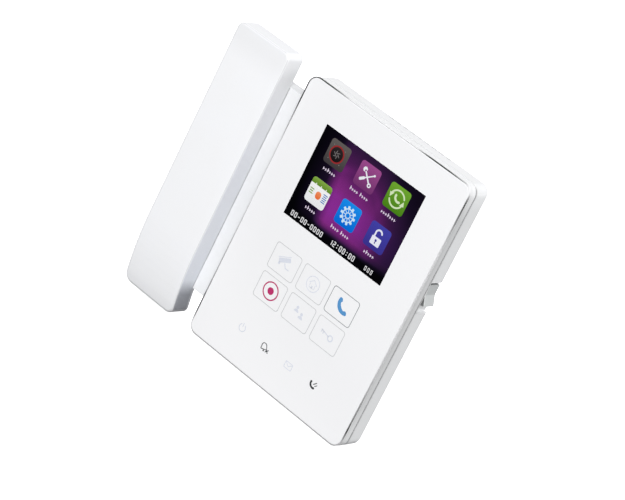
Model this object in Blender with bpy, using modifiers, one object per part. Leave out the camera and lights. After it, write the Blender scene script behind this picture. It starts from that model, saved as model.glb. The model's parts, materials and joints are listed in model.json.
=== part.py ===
"""Wall-mounted video intercom monitor with a handset in a side cradle.

Frame: metres, +Z up, +X to the right of someone facing the screen, +Y into the wall.
The origin is the centre of the wall bracket's back face, level with the middle of the
front panel. Outlines are drawn in the XZ plane and given a depth along Y.
"""
import bpy
import bmesh
from math import cos, sin, pi, radians
from mathutils import Matrix, Vector

# ---------------------------------------------------------------- driving dimensions
GAP = 0.0003                   # clearance between neighbouring pieces

# monitor body
BODY_W = 0.1402
BODY_H = 0.1936
BODY_CORNER = 0.007
PANEL_FRONT = -0.0234          # front face of the acrylic panel
BODY_BACK = -0.0010            # rear edge of the rear cover, 1 mm off the wall
FRAME_BACK = -0.0161           # rear edge of the front frame's band
COVER_FRONT = -0.0151          # front rim of the rear cover; a shadow groove lies between
GROOVE_DEPTH = 0.0008
WALL = 0.0022
FLOOR_IN = -0.0040             # inner face of the rear cover's back

SCREEN_Z = 0.0421              # height of the display's centre

# handset cradle at the left of the body
CRADLE_LEFT = -0.1224
CRADLE_RIGHT = -0.0705
CRADLE_TOP = 0.0795
CRADLE_BOTTOM = -0.0726
CRADLE_FRONT = -0.0214
CRADLE_PARTING = -0.0143       # front rim of the cradle's base
CRADLE_BACK = -0.0084
CRADLE_CORNER = 0.005
HANDSET_STEP_X = -0.0815       # the raised strip ends here and the handset's seat begins

# handset
HS_LEFT = -0.1284
HS_RIGHT = -0.0819
HS_TOP = 0.1015
HS_BOTTOM = -0.0942
HS_FRONT = -0.0369
HS_BACK = -0.0204
HS_PARTING = -0.0223
HS_MID = (HS_LEFT + HS_RIGHT) / 2
HS_WALL = 0.0022
HS_CORNERS = (0.0045, 0.0058)  # corner radii at the upper and lower ends
HS_INNER_CORNERS = (0.0026, 0.0036)
SWEEP_START = -0.042           # below this height the handset curves towards the wall
SWEEP_RADIUS = 0.197
EAR_Z = 0.060
MOUTH_Z = -0.053
BOSS_R = 0.0155                # round ear and mouth bosses on the handset's back
BOSS_BACK = -0.0174

# power rocker in the right-hand side
ROCKER_PIVOT = (0.0671, -0.00855, 0.0185)
ROCKER_HALF_L = 0.0072
ROCKER_W = 0.0113
ROCKER_TILT = radians(12)
HOUSING_Y = (-0.0142, -0.0043)
HOUSING_HALF_L = 0.0078
NOTCH_Z = (0.0055, 0.0280)
NOTCH_X = 0.0676
NOTCH_Y = (-0.0145, -0.0026)

# hook switch under the handset
HOOK_X = HS_MID
HOOK_Z = 0.003

# wall bracket
BRACKET_W = 0.096
BRACKET_H = 0.126
BRACKET_T = 0.0015
WINDOW_Z = -0.028              # centre of the cable window

# fasteners
CASE_SCREW_X = 0.0618
CASE_SCREW_Z = 0.0888
BOARD_SCREW_X = 0.0520
BOARD_SCREW_Z = (0.0700, -0.0820)
CRADLE_SCREW_Z = (0.050, -0.045)
CRADLE_SCREW_Y = -0.0113

MERGE = 0.00001
OUTSIDE = 0.01                 # how far a cutter runs past an open face


# ---------------------------------------------------------------- scene and materials
def clear_scene():
    for item in list(bpy.data.objects):
        bpy.data.objects.remove(item, do_unlink=True)


def new_collection(name):
    made = bpy.data.collections.new(name)
    bpy.context.scene.collection.children.link(made)
    return made


def new_material(name, colour, roughness, metallic=0.0):
    made = bpy.data.materials.new(name)
    made.use_nodes = True
    shader = made.node_tree.nodes["Principled BSDF"]
    shader.inputs["Base Color"].default_value = (*colour, 1.0)
    shader.inputs["Roughness"].default_value = roughness
    shader.inputs["Metallic"].default_value = metallic
    return made


clear_scene()
PARTS = new_collection("video_intercom_monitor")
CUTTERS = new_collection("cutters")

WHITE_ABS = new_material("white_abs", (0.86, 0.87, 0.88), 0.35)
WHITE_ACRYLIC = new_material("white_acrylic", (0.92, 0.92, 0.93), 0.08)
CHROME = new_material("chrome_trim", (0.75, 0.76, 0.78), 0.10, 1.0)
STEEL = new_material("steel", (0.60, 0.61, 0.62), 0.35, 1.0)
FOAM = new_material("foam", (0.10, 0.10, 0.11), 0.90)
DISPLAY = new_material("display", (0.03, 0.03, 0.04), 0.15)
BOARD = new_material("circuit_board", (0.03, 0.20, 0.10), 0.45)
BLACK = new_material("black_plastic", (0.04, 0.04, 0.045), 0.50)
CONNECTOR = new_material("connector_plastic", (0.82, 0.80, 0.72), 0.50)
COPPER = new_material("copper_ribbon", (0.72, 0.42, 0.20), 0.40, 0.6)


# ---------------------------------------------------------------- outlines, as (x, z) points
def arc(centre, radius, start, end, steps):
    cx, cz = centre
    turns = [start + (end - start) * i / steps for i in range(steps + 1)]
    return [(cx + radius * cos(t), cz + radius * sin(t)) for t in turns]


def circle(radius, centre=(0.0, 0.0), steps=24):
    return arc(centre, radius, 0.0, 2 * pi, steps)[:-1]


def rounded_rect(x0, x1, z0, z1, radius, steps=6):
    return (arc((x1 - radius, z1 - radius), radius, 0.0, pi / 2, steps)
            + arc((x0 + radius, z1 - radius), radius, pi / 2, pi, steps)
            + arc((x0 + radius, z0 + radius), radius, pi, 1.5 * pi, steps)
            + arc((x1 - radius, z0 + radius), radius, 1.5 * pi, 2 * pi, steps))


def centred_rect(width, height, radius, centre=(0.0, 0.0), steps=6):
    cx, cz = centre
    return rounded_rect(cx - width / 2, cx + width / 2, cz - height / 2, cz + height / 2,
                        radius, steps)


def upright_slot(length, width, centre):
    return centred_rect(width, length, width * 0.499, centre, 5)


def strip_along(path, thickness):
    """Closed outline of a thin band that follows an open path."""
    points = [Vector(p) for p in path]
    left = []
    right = []
    for i, point in enumerate(points):
        ahead = points[min(i + 1, len(points) - 1)]
        behind = points[max(i - 1, 0)]
        along = (ahead - behind).normalized()
        side = Vector((-along.y, along.x)) * thickness / 2
        left.append(tuple(point + side))
        right.append(tuple(point - side))
    return left + right[::-1]


# ---------------------------------------------------------------- solids
def finish_object(name, mesh, mat, centre):
    """Give a world-space mesh an object whose origin is at centre."""
    mesh.transform(Matrix.Translation(-Vector(centre)))
    mesh.shade_smooth()
    mesh.set_sharp_from_angle(angle=radians(35))
    made = bpy.data.objects.new(name, mesh)
    made.location = centre
    if mat is None:
        CUTTERS.objects.link(made)
        made.hide_render = True
        made.display_type = "WIRE"
    else:
        PARTS.objects.link(made)
        mesh.materials.append(mat)
    return made


def from_bmesh(name, bm, mat, centre):
    mesh = bpy.data.meshes.new(name)
    bmesh.ops.recalc_face_normals(bm, faces=bm.faces)
    bm.to_mesh(mesh)
    bm.free()
    return finish_object(name, mesh, mat, centre)


def round_rim(bm, level, radius, segments):
    """Round the edges of the flat face that lies at one depth."""
    def on_rim(edge):
        flat = all(abs(v.co.y - level) < MERGE for v in edge.verts)
        if not flat or len(edge.link_faces) != 2:
            return False
        first, second = edge.link_faces
        return abs(first.normal.dot(second.normal)) < 0.5
    edges = [e for e in bm.edges if on_rim(e)]
    bmesh.ops.bevel(bm, geom=edges, offset=radius, segments=segments, profile=0.5,
                    affect="EDGES", clamp_overlap=True)


def prism(name, outlines, y_front, y_back, mat=None, front_rim=0.0, back_rim=0.0, rim_steps=2,
          along="Y"):
    """Flat outlines with a depth along Y; an outline inside another is a hole in it.

    With along="X" the outlines are (y, z) points and the depth runs along X.
    """
    curve = bpy.data.curves.new(name, "CURVE")
    curve.dimensions = "2D"
    curve.fill_mode = "BOTH"
    curve.extrude = (y_back - y_front) / 2
    for outline in outlines:
        spline = curve.splines.new("POLY")
        spline.points.add(len(outline) - 1)
        for point, (x, z) in zip(spline.points, outline):
            point.co = (x, z, 0.0, 1.0)
        spline.use_cyclic_u = True
    drawn = bpy.data.objects.new(name + "_outline", curve)
    PARTS.objects.link(drawn)
    middle = (y_front + y_back) / 2
    drawn.rotation_euler = (pi / 2, 0.0, 0.0) if along == "Y" else (pi / 2, 0.0, pi / 2)
    drawn.location = (0.0, middle, 0.0) if along == "Y" else (middle, 0.0, 0.0)
    graph = bpy.context.evaluated_depsgraph_get()
    graph.update()
    mesh = bpy.data.meshes.new_from_object(drawn.evaluated_get(graph))
    mesh.name = name
    mesh.transform(drawn.matrix_world)
    bpy.data.objects.remove(drawn, do_unlink=True)
    bm = bmesh.new()
    bm.from_mesh(mesh)
    bmesh.ops.remove_doubles(bm, verts=bm.verts, dist=MERGE)
    bmesh.ops.dissolve_limit(bm, angle_limit=radians(0.5), verts=bm.verts, edges=bm.edges)
    if front_rim:
        round_rim(bm, y_front, front_rim, rim_steps)
    if back_rim:
        round_rim(bm, y_back, back_rim, rim_steps)
    mesh.materials.clear()
    bm.to_mesh(mesh)
    bm.free()
    xs = [v.co.x for v in mesh.vertices]
    ys = [v.co.y for v in mesh.vertices]
    zs = [v.co.z for v in mesh.vertices]
    centre = ((min(xs) + max(xs)) / 2, (min(ys) + max(ys)) / 2, (min(zs) + max(zs)) / 2)
    return finish_object(name, mesh, mat, centre)


def boxes(name, corners, mat=None, bevel=0.0):
    """One or more boxes, each given by its lowest and highest corner, in one object."""
    bm = bmesh.new()
    for low, high in corners:
        low = Vector(low)
        high = Vector(high)
        place = Matrix.Translation((low + high) / 2) @ Matrix.Diagonal((*(high - low), 1.0))
        bmesh.ops.create_cube(bm, size=1.0, matrix=place)
    if bevel:
        bmesh.ops.bevel(bm, geom=bm.edges[:], offset=bevel, segments=1, affect="EDGES")
    low = Vector([min(c[0][i] for c in corners) for i in range(3)])
    high = Vector([max(c[1][i] for c in corners) for i in range(3)])
    return from_bmesh(name, bm, mat, (low + high) / 2)


def box(name, low, high, mat=None, bevel=0.0):
    return boxes(name, [(low, high)], mat, bevel)


def rods(name, radius, ends, mat=None, steps=20):
    """Round bars between pairs of points, in one object."""
    bm = bmesh.new()
    for start, end in ends:
        start = Vector(start)
        end = Vector(end)
        turn = (end - start).to_track_quat("Z", "Y").to_matrix().to_4x4()
        bmesh.ops.create_cone(bm, cap_ends=True, segments=steps, radius1=radius, radius2=radius,
                              depth=(end - start).length,
                              matrix=Matrix.Translation((start + end) / 2) @ turn)
    first, last = Vector(ends[0][0]), Vector(ends[-1][1])
    return from_bmesh(name, bm, mat, (first + last) / 2)


def rod(name, radius, start, end, mat=None, steps=20):
    return rods(name, radius, [(start, end)], mat, steps)


def turned(name, profile, place, direction, mat, steps=20):
    """Revolve (radius, height) points, given top to bottom, about an axis through place."""
    mesh = bpy.data.meshes.new(name)
    points = [(radius, 0.0, height) for radius, height in profile]
    edges = [(i, i + 1) for i in range(len(points) - 1)]
    mesh.from_pydata(points, edges, [])
    made = bpy.data.objects.new(name, mesh)
    made.location = place
    made.rotation_mode = "QUATERNION"
    made.rotation_quaternion = Vector(direction).to_track_quat("Z", "Y")
    spin = made.modifiers.new("revolve", "SCREW")
    spin.steps = steps
    spin.render_steps = steps
    spin.use_merge_vertices = True
    spin.merge_threshold = MERGE
    spin.use_smooth_shade = False
    PARTS.objects.link(made)
    mesh.materials.append(mat)
    return made


def cut(target, *tools):
    for tool in tools:
        step = target.modifiers.new("cut_" + tool.name, "BOOLEAN")
        step.operation = "DIFFERENCE"
        step.object = tool
    return target


def join(target, *additions):
    for addition in additions:
        step = target.modifiers.new("join_" + addition.name, "BOOLEAN")
        step.operation = "UNION"
        step.object = addition
    return target


def corners_of(x, z):
    return [(sx * x, sz * z) for sx in (-1, 1) for sz in (1, -1)]


# ---------------------------------------------------------------- wall bracket
HOOKS = [(-0.038, 0.040), (0.038, 0.040), (-0.038, -0.030), (0.038, -0.030)]
HOOK_W = 0.008
HOOK_THICK = 0.0015


def make_wall_bracket():
    screw_slots = [upright_slot(0.0070, 0.0044, place)
                   for place in ((-0.03015, 0.0), (0.03015, 0.0), (0.0, 0.052), (0.0, -0.054))]
    window = centred_rect(0.040, 0.028, 0.002, (0.0, WINDOW_Z), 3)
    plate = prism("wall_bracket", [centred_rect(BRACKET_W, BRACKET_H, 0.004), window, *screw_slots],
                  -BRACKET_T, 0.0, STEEL)
    legs = boxes("hook_legs", [((x - HOOK_W / 2, -0.0059, z), (x + HOOK_W / 2, -0.0010, z + HOOK_THICK))
                               for x, z in HOOKS])
    lips = boxes("hook_lips", [((x - HOOK_W / 2, -0.0059, z + 0.0005),
                                (x + HOOK_W / 2, -0.0044, z + 0.0060)) for x, z in HOOKS])
    join(plate, legs, lips)


# ---------------------------------------------------------------- rear cover
VENT_COUNT = 9
VENT_PITCH = 0.00615
VENT_START_X = -0.0140
VENT_W = 0.0042
VENT_Y = (-0.0054, -0.0047)    # narrow slots through the case's top, near its rear edge
SPEAKER_X = 0.030
SPEAKER_Z = -0.072
SPEAKER_R = 0.018


def make_rear_cover():
    inner_w = BODY_W - 2 * WALL
    inner_h = BODY_H - 2 * WALL
    cover = prism("rear_cover", [centred_rect(BODY_W, BODY_H, BODY_CORNER, steps=8)],
                  COVER_FRONT, BODY_BACK, WHITE_ABS, front_rim=0.0003, back_rim=0.0022, rim_steps=3)
    cavity = prism("cover_cavity", [centred_rect(inner_w, inner_h, BODY_CORNER - WALL, steps=5)],
                   COVER_FRONT - OUTSIDE, FLOOR_IN)
    pocket = prism("bracket_pocket", [centred_rect(BRACKET_W + 0.002, BRACKET_H + 0.002, 0.005)],
                   -0.0020, OUTSIDE)
    cut(cover, cavity, pocket)
    switch_block = box("switch_block", (0.0641, COVER_FRONT, 0.0035), (0.0686, BODY_BACK - 0.002, 0.0300))
    screw_tubes = rods("screw_tubes", 0.0042, [((x, -0.0090, z), (x, FLOOR_IN + 0.001, z))
                                               for x, z in corners_of(CASE_SCREW_X, CASE_SCREW_Z)])
    standoffs = rods("standoffs", 0.0032, [((x, -0.0107, z), (x, FLOOR_IN + 0.001, z))
                                           for x in (-BOARD_SCREW_X, BOARD_SCREW_X)
                                           for z in BOARD_SCREW_Z], steps=16)
    join(cover, switch_block, screw_tubes, standoffs)
    hook_slots = boxes("hook_slots", [((x - 0.0050, -OUTSIDE, z - 0.0070),
                                       (x + 0.0050, OUTSIDE, z + HOOK_THICK + GAP)) for x, z in HOOKS])
    window = box("cover_window", (-0.022, -OUTSIDE, WINDOW_Z - 0.016), (0.022, OUTSIDE, WINDOW_Z + 0.016))
    vents = boxes("top_vents", [((VENT_START_X + i * VENT_PITCH - VENT_W / 2, VENT_Y[0],
                                  inner_h / 2 - 0.001),
                                 (VENT_START_X + i * VENT_PITCH + VENT_W / 2, VENT_Y[1],
                                  BODY_H / 2 + OUTSIDE)) for i in range(VENT_COUNT)])
    notch = box("switch_notch", (NOTCH_X, NOTCH_Y[0], NOTCH_Z[0]), (0.080, OUTSIDE, NOTCH_Z[1]))
    opening = box("switch_opening", (0.060, NOTCH_Y[0], ROCKER_PIVOT[2] - ROCKER_HALF_L - 0.0014),
                  (0.080, NOTCH_Y[1], NOTCH_Z[1]))
    screw_holes = rods("case_screw_holes", 0.0017, [((x, -OUTSIDE, z), (x, OUTSIDE, z))
                                                    for x, z in corners_of(CASE_SCREW_X, CASE_SCREW_Z)],
                       steps=12)
    head_wells = rods("case_screw_wells", 0.0032, [((x, -0.0030, z), (x, OUTSIDE, z))
                                                   for x, z in corners_of(CASE_SCREW_X, CASE_SCREW_Z)],
                      steps=16)
    pilot_holes = rods("standoff_holes", 0.0014, [((x, -0.020, z), (x, -0.0058, z))
                                                  for x in (-BOARD_SCREW_X, BOARD_SCREW_X)
                                                  for z in BOARD_SCREW_Z], steps=12)
    cradle_holes = rods("cradle_screw_holes", 0.0015, [((-0.075, CRADLE_SCREW_Y, z),
                                                        (-0.060, CRADLE_SCREW_Y, z))
                                                       for z in CRADLE_SCREW_Z], steps=12)
    wire_port = box("wire_port", (-0.075, -0.0130, -0.004), (-0.060, -0.0092, 0.004))
    sound_slots = boxes("sound_slots", [((SPEAKER_X - 0.010, -OUTSIDE, SPEAKER_Z + i * 0.004 - 0.0008),
                                         (SPEAKER_X + 0.010, OUTSIDE, SPEAKER_Z + i * 0.004 + 0.0008))
                                        for i in range(-2, 3)])
    mic_port = rod("mic_port", 0.0010, (0.0, -0.0090, -0.100), (0.0, -0.0090, -0.085), steps=10)
    cut(cover, hook_slots, window, vents, notch, opening, screw_holes, head_wells, pilot_holes,
        cradle_holes, wire_port, sound_slots, mic_port)


# ---------------------------------------------------------------- front frame, trim and panel
FRAME_FRONT = -0.0219
LEDGE_FRONT = -0.0206
LEDGE_BACK = -0.0188
SEAT_W = BODY_W - 0.0009       # recess that the panel sits in
SEAT_H = BODY_H - 0.0009
SEAT_CORNER = BODY_CORNER - 0.00045


def make_front_frame():
    frame = prism("front_frame", [centred_rect(BODY_W, BODY_H, BODY_CORNER, steps=8)],
                  FRAME_FRONT, COVER_FRONT - GAP, WHITE_ABS)
    seat = prism("panel_seat", [centred_rect(SEAT_W, SEAT_H, SEAT_CORNER, steps=6)],
                 FRAME_FRONT - OUTSIDE, LEDGE_FRONT)
    groove = prism("shadow_groove", [centred_rect(BODY_W + OUTSIDE, BODY_H + OUTSIDE, BODY_CORNER),
                                     centred_rect(BODY_W - 2 * GROOVE_DEPTH, BODY_H - 2 * GROOVE_DEPTH,
                                                  BODY_CORNER - GROOVE_DEPTH, steps=8)],
                   FRAME_BACK, OUTSIDE)
    hollow = prism("frame_hollow", [centred_rect(BODY_W - 2 * WALL, BODY_H - 2 * WALL, 0.0048, steps=5)],
                   LEDGE_BACK, OUTSIDE)
    display_hole = prism("display_hole", [rounded_rect(-0.058, 0.058, 0.0025, 0.085, 0.003, 3)],
                         -0.030, OUTSIDE)
    key_hole = prism("key_hole", [rounded_rect(-0.058, 0.058, -0.085, -0.0035, 0.003, 3)],
                     -0.030, OUTSIDE)
    cut(frame, seat, groove, hollow, display_hole, key_hole)
    posts = rods("frame_posts", 0.0035, [((x, LEDGE_BACK - 0.001, z), (x, -0.0093, z))
                                         for x, z in corners_of(CASE_SCREW_X, CASE_SCREW_Z)], steps=16)
    join(frame, posts)
    pilots = rods("post_holes", 0.0017, [((x, -0.0168, z), (x, OUTSIDE, z))
                                         for x, z in corners_of(CASE_SCREW_X, CASE_SCREW_Z)], steps=12)
    cut(frame, pilots)


def make_panel():
    prism("panel_trim", [centred_rect(BODY_W, BODY_H, BODY_CORNER, steps=8),
                         centred_rect(SEAT_W, SEAT_H, SEAT_CORNER, steps=8)],
          -0.0232, FRAME_FRONT - GAP, CHROME)
    prism("panel_tape", [centred_rect(SEAT_W - 0.0018, SEAT_H - 0.0018, 0.005, steps=4),
                         centred_rect(0.118, 0.172, 0.004, steps=4)],
          -0.0213, LEDGE_FRONT - GAP, FOAM)
    prism("front_panel", [centred_rect(SEAT_W - 2 * GAP, SEAT_H - 2 * GAP, SEAT_CORNER - GAP, steps=8)],
          PANEL_FRONT, -0.0216, WHITE_ACRYLIC, front_rim=0.0003, rim_steps=1)


# ---------------------------------------------------------------- display, touch keys and electronics
def make_display():
    box("lcd_module", (-0.049, -0.0212, SCREEN_Z - 0.039), (0.049, -0.0174, SCREEN_Z + 0.039),
        DISPLAY, 0.0003)
    prism("lcd_bracket", [centred_rect(0.120, 0.085, 0.003, (0.0, SCREEN_Z), 3),
                          centred_rect(0.080, 0.056, 0.003, (0.0, SCREEN_Z), 3)],
          -0.0171, -0.0163, STEEL)
    prism("display_ribbon", [strip_along([(-0.0170, 0.020), (-0.0170, 0.026), (-0.0162, 0.030),
                                          (-0.0138, 0.036), (-0.0130, 0.040), (-0.0130, 0.046)],
                                         0.0002)], -0.012, 0.012, COPPER, along="X")


def make_touch_keys():
    box("touch_board", (-0.056, -0.0212, -0.0820), (0.056, -0.0200, -0.0042), BOARD)
    box("touch_controller", (-0.0045, -0.0197, -0.0345), (0.0045, -0.0187, -0.0255), BLACK, 0.0002)
    prism("touch_ribbon", [strip_along([(-0.0196, -0.044), (-0.0196, -0.050), (-0.0186, -0.054),
                                        (-0.0140, -0.060), (-0.0130, -0.064), (-0.0130, -0.070)],
                                       0.0002)], -0.008, 0.008, COPPER, along="X")


def socket(name, low, high, mouth, wall, depth, mat):
    """A connector body with one rectangular mouth; mouth is the axis index and the side."""
    axis, side = mouth
    body = box(name, low, high, mat)
    hollow_low = [value + wall for value in low]
    hollow_high = [value - wall for value in high]
    if side > 0:
        hollow_low[axis] = high[axis] - depth
        hollow_high[axis] = high[axis] + OUTSIDE
    else:
        hollow_low[axis] = low[axis] - OUTSIDE
        hollow_high[axis] = low[axis] + depth
    cut(body, box(name + "_mouth", hollow_low, hollow_high))


def make_electronics():
    holes = [circle(0.0015, (x, z), 12) for x in (-BOARD_SCREW_X, BOARD_SCREW_X) for z in BOARD_SCREW_Z]
    prism("main_board", [rounded_rect(-0.0555, 0.0555, -0.086, 0.074, 0.002, 2), *holes],
          -0.0126, -0.0110, BOARD)
    box("main_processor", (-0.039, -0.0143, -0.017), (-0.025, -0.0129, -0.003), BLACK, 0.0002)
    box("video_decoder", (0.023, -0.0141, -0.025), (0.033, -0.0129, -0.015), BLACK, 0.0002)
    box("power_inductor", (-0.041, -0.0107, 0.008), (-0.029, -0.0060, 0.020), BLACK, 0.0008)
    rod("filter_capacitor", 0.0040, (-0.035, -0.0107, -0.004), (-0.035, -0.0047, -0.004), STEEL)
    for name, x in (("door_station_connector", -0.012), ("power_connector", 0.012)):
        socket(name, (x - 0.006, -0.0107, WINDOW_Z - 0.0035), (x + 0.006, -0.0047, WINDOW_Z + 0.0035),
               (1, 1), 0.0010, 0.0050, CONNECTOR)
    turned("loudspeaker", [(0.0, 0.0), (0.0090, 0.0), (0.0100, -0.0010), (0.0150, -0.0034),
                           (SPEAKER_R, -0.0040), (SPEAKER_R, -0.0057), (0.0, -0.0057)],
           (SPEAKER_X, -0.0105, SPEAKER_Z), (0.0, -1.0, 0.0), BLACK, 28)
    prism("speaker_gasket", [circle(0.0175, (SPEAKER_X, SPEAKER_Z), 28),
                             circle(0.0145, (SPEAKER_X, SPEAKER_Z), 28)], -0.00455, -0.00425, FOAM)
    rod("monitor_microphone", 0.0030, (0.0, -0.0090, -0.0940), (0.0, -0.0090, -0.0915), STEEL, 16)


# ---------------------------------------------------------------- power rocker
def make_rocker():
    px, py, pz = ROCKER_PIVOT
    box("rocker_housing", (0.0571, HOUSING_Y[0], pz - HOUSING_HALF_L),
        (0.0638, HOUSING_Y[1], pz + HOUSING_HALF_L), BLACK, 0.0003)
    half = ROCKER_HALF_L
    face = [(0.0044, half), (0.0030, 0.0), (0.0044, -half)]
    back = [(0.0006, -half), (-0.0012, -0.0030), (-0.0020, 0.0), (-0.0012, 0.0030), (0.0006, half)]
    key = prism("rocker_key", [face + back], -ROCKER_W / 2, ROCKER_W / 2, WHITE_ABS,
                front_rim=0.0003, back_rim=0.0003, rim_steps=1)
    key.data.transform(Matrix.Translation(key.location))
    key.location = (px, py, pz)
    key.rotation_euler = (0.0, -ROCKER_TILT, 0.0)


# ---------------------------------------------------------------- handset
def sweep_back(z):
    """How far the handset has curved towards the wall at a height."""
    return max(SWEEP_START - z, 0.0) ** 2 / (2 * SWEEP_RADIUS)


def bent_slab(name, x0, x1, z0, z1, y_front, y_back, corners, mat=None, front_rim=0.0, back_rim=0.0):
    """A slab with round corners that follows the handset's curve at its lower end."""
    top_corner, bottom_corner = corners
    bm = bmesh.new()
    low = Vector((x0, y_front, z0))
    high = Vector((x1, y_back, z1))
    place = Matrix.Translation((low + high) / 2) @ Matrix.Diagonal((*(high - low), 1.0))
    bmesh.ops.create_cube(bm, size=1.0, matrix=place)
    for level, radius in ((z1, top_corner), (z0, bottom_corner)):
        upright = [e for e in bm.edges
                   if all(abs(v.co.z - level) < MERGE for v in e.verts)
                   and abs(e.verts[0].co.y - e.verts[1].co.y) > MERGE
                   and abs(e.verts[0].co.x - e.verts[1].co.x) < MERGE]
        bmesh.ops.bevel(bm, geom=upright, offset=radius, segments=6, profile=0.5, affect="EDGES")
    if front_rim:
        round_rim(bm, y_front, front_rim, 3)
    if back_rim:
        round_rim(bm, y_back, back_rim, 2)
    station = SWEEP_START
    while station > z0:
        bmesh.ops.bisect_plane(bm, geom=bm.verts[:] + bm.edges[:] + bm.faces[:],
                               plane_co=(0.0, 0.0, station), plane_no=(0.0, 0.0, 1.0))
        station -= 0.0055
    for vert in bm.verts:
        vert.co.y += sweep_back(vert.co.z)
    return from_bmesh(name, bm, mat, (low + high) / 2)


PLATE_Z = (0.034, -0.028)
HS_SCREW_Z = (0.0405, -0.0340)


def make_handset_front():
    shell = bent_slab("handset_front_shell", HS_LEFT, HS_RIGHT, HS_BOTTOM, HS_TOP, HS_FRONT,
                      HS_PARTING, HS_CORNERS, WHITE_ABS, front_rim=0.0014)
    hollow = bent_slab("handset_hollow", HS_LEFT + HS_WALL, HS_RIGHT - HS_WALL, HS_BOTTOM + HS_WALL,
                       HS_TOP - HS_WALL, HS_FRONT + HS_WALL, 0.0, HS_INNER_CORNERS)
    cut(shell, hollow)
    posts = rods("handset_posts", 0.0030, [((HS_MID, HS_FRONT + 0.0012, z), (HS_MID, HS_PARTING, z))
                                           for z in HS_SCREW_Z], steps=14)
    join(shell, posts)
    pilots = rods("handset_pilots", 0.0014, [((HS_MID, -0.0310, z), (HS_MID, 0.0, z))
                                             for z in HS_SCREW_Z], steps=10)
    cut(shell, pilots, cord_socket_hole())


def cord_socket_hole():
    return box("handset_socket_hole", (HS_MID - 0.0053, -0.0282, HS_BOTTOM - 0.010),
               (HS_MID + 0.0053, -0.0195, HS_BOTTOM + 0.004))


def make_handset_back():
    shell = bent_slab("handset_rear_shell", HS_LEFT, HS_RIGHT, HS_BOTTOM, HS_TOP,
                      HS_PARTING + GAP, HS_BACK, HS_CORNERS, WHITE_ABS, back_rim=0.0008)
    bosses = rods("boss_outsides", BOSS_R, [((HS_MID, HS_PARTING + GAP, z), (HS_MID, BOSS_BACK, z))
                                            for z in (EAR_Z, MOUTH_Z)], steps=28)
    insides = rods("boss_insides", BOSS_R - 0.0018, [((HS_MID, -0.030, z), (HS_MID, BOSS_BACK - 0.0016, z))
                                                     for z in (EAR_Z, MOUTH_Z)], steps=24)
    ear_holes = [(HS_MID, EAR_Z)] + [(HS_MID + 0.0055 * cos(t * pi / 3), EAR_Z + 0.0055 * sin(t * pi / 3))
                                     for t in range(6)]
    mouth_holes = [(HS_MID + 0.0030 * i, MOUTH_Z) for i in (-1, 0, 1)]
    sound = rods("sound_holes", 0.0009, [((x, -0.030, z), (x, OUTSIDE, z))
                                         for x, z in ear_holes + mouth_holes], steps=8)
    screws = rods("rear_screw_holes", 0.0014, [((HS_MID, -0.030, z), (HS_MID, OUTSIDE, z))
                                               for z in HS_SCREW_Z], steps=10)
    wells = rods("rear_screw_wells", 0.0026, [((HS_MID, -0.0214, z), (HS_MID, OUTSIDE, z))
                                              for z in HS_SCREW_Z], steps=14)
    join(shell, bosses)
    cut(shell, insides, sound, screws, wells)


def make_handset_inside():
    rod("earpiece_capsule", 0.0130, (HS_MID, -0.0260, EAR_Z), (HS_MID, -0.0194, EAR_Z), BLACK, 28)
    rod("handset_microphone", 0.0048, (HS_MID, -0.0245, MOUTH_Z), (HS_MID, -0.0194, MOUTH_Z), STEEL, 20)
    box("handset_weight", (HS_MID - 0.011, -0.0330, -0.026), (HS_MID + 0.011, -0.0290, 0.032),
        STEEL, 0.0004)
    for name, z in (("handset_plate_upper", PLATE_Z[0]), ("handset_plate_lower", PLATE_Z[1])):
        x = HS_MID + 0.0105
        rod(name, 0.0060, (x, -0.0233, z), (x, -0.0223, z), STEEL, 20)
    socket("handset_cord_socket", (HS_MID - 0.0050, -0.0279, HS_BOTTOM + 0.0006),
           (HS_MID + 0.0050, -0.0198, HS_BOTTOM + 0.0126), (2, -1), 0.0010, 0.0090, BLACK)


# ---------------------------------------------------------------- cradle
def cradle_outline(inset=0.0, steps=5):
    return rounded_rect(CRADLE_LEFT + inset, CRADLE_RIGHT - inset, CRADLE_BOTTOM + inset,
                        CRADLE_TOP - inset, CRADLE_CORNER - inset, steps)


def cradle_block(name, y_front, y_back, mat, front_rim, back_rim):
    """Cradle outline with round left corners; the right-hand side stands square to the body."""
    right = CRADLE_RIGHT
    outline = (arc((CRADLE_LEFT + CRADLE_CORNER, CRADLE_TOP - CRADLE_CORNER), CRADLE_CORNER,
                   pi / 2, pi, 6)
               + arc((CRADLE_LEFT + CRADLE_CORNER, CRADLE_BOTTOM + CRADLE_CORNER), CRADLE_CORNER,
                     pi, 1.5 * pi, 6)
               + [(right, CRADLE_BOTTOM), (right, CRADLE_TOP)])
    return prism(name, [outline], y_front, y_back, mat, front_rim=front_rim, back_rim=back_rim)


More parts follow.
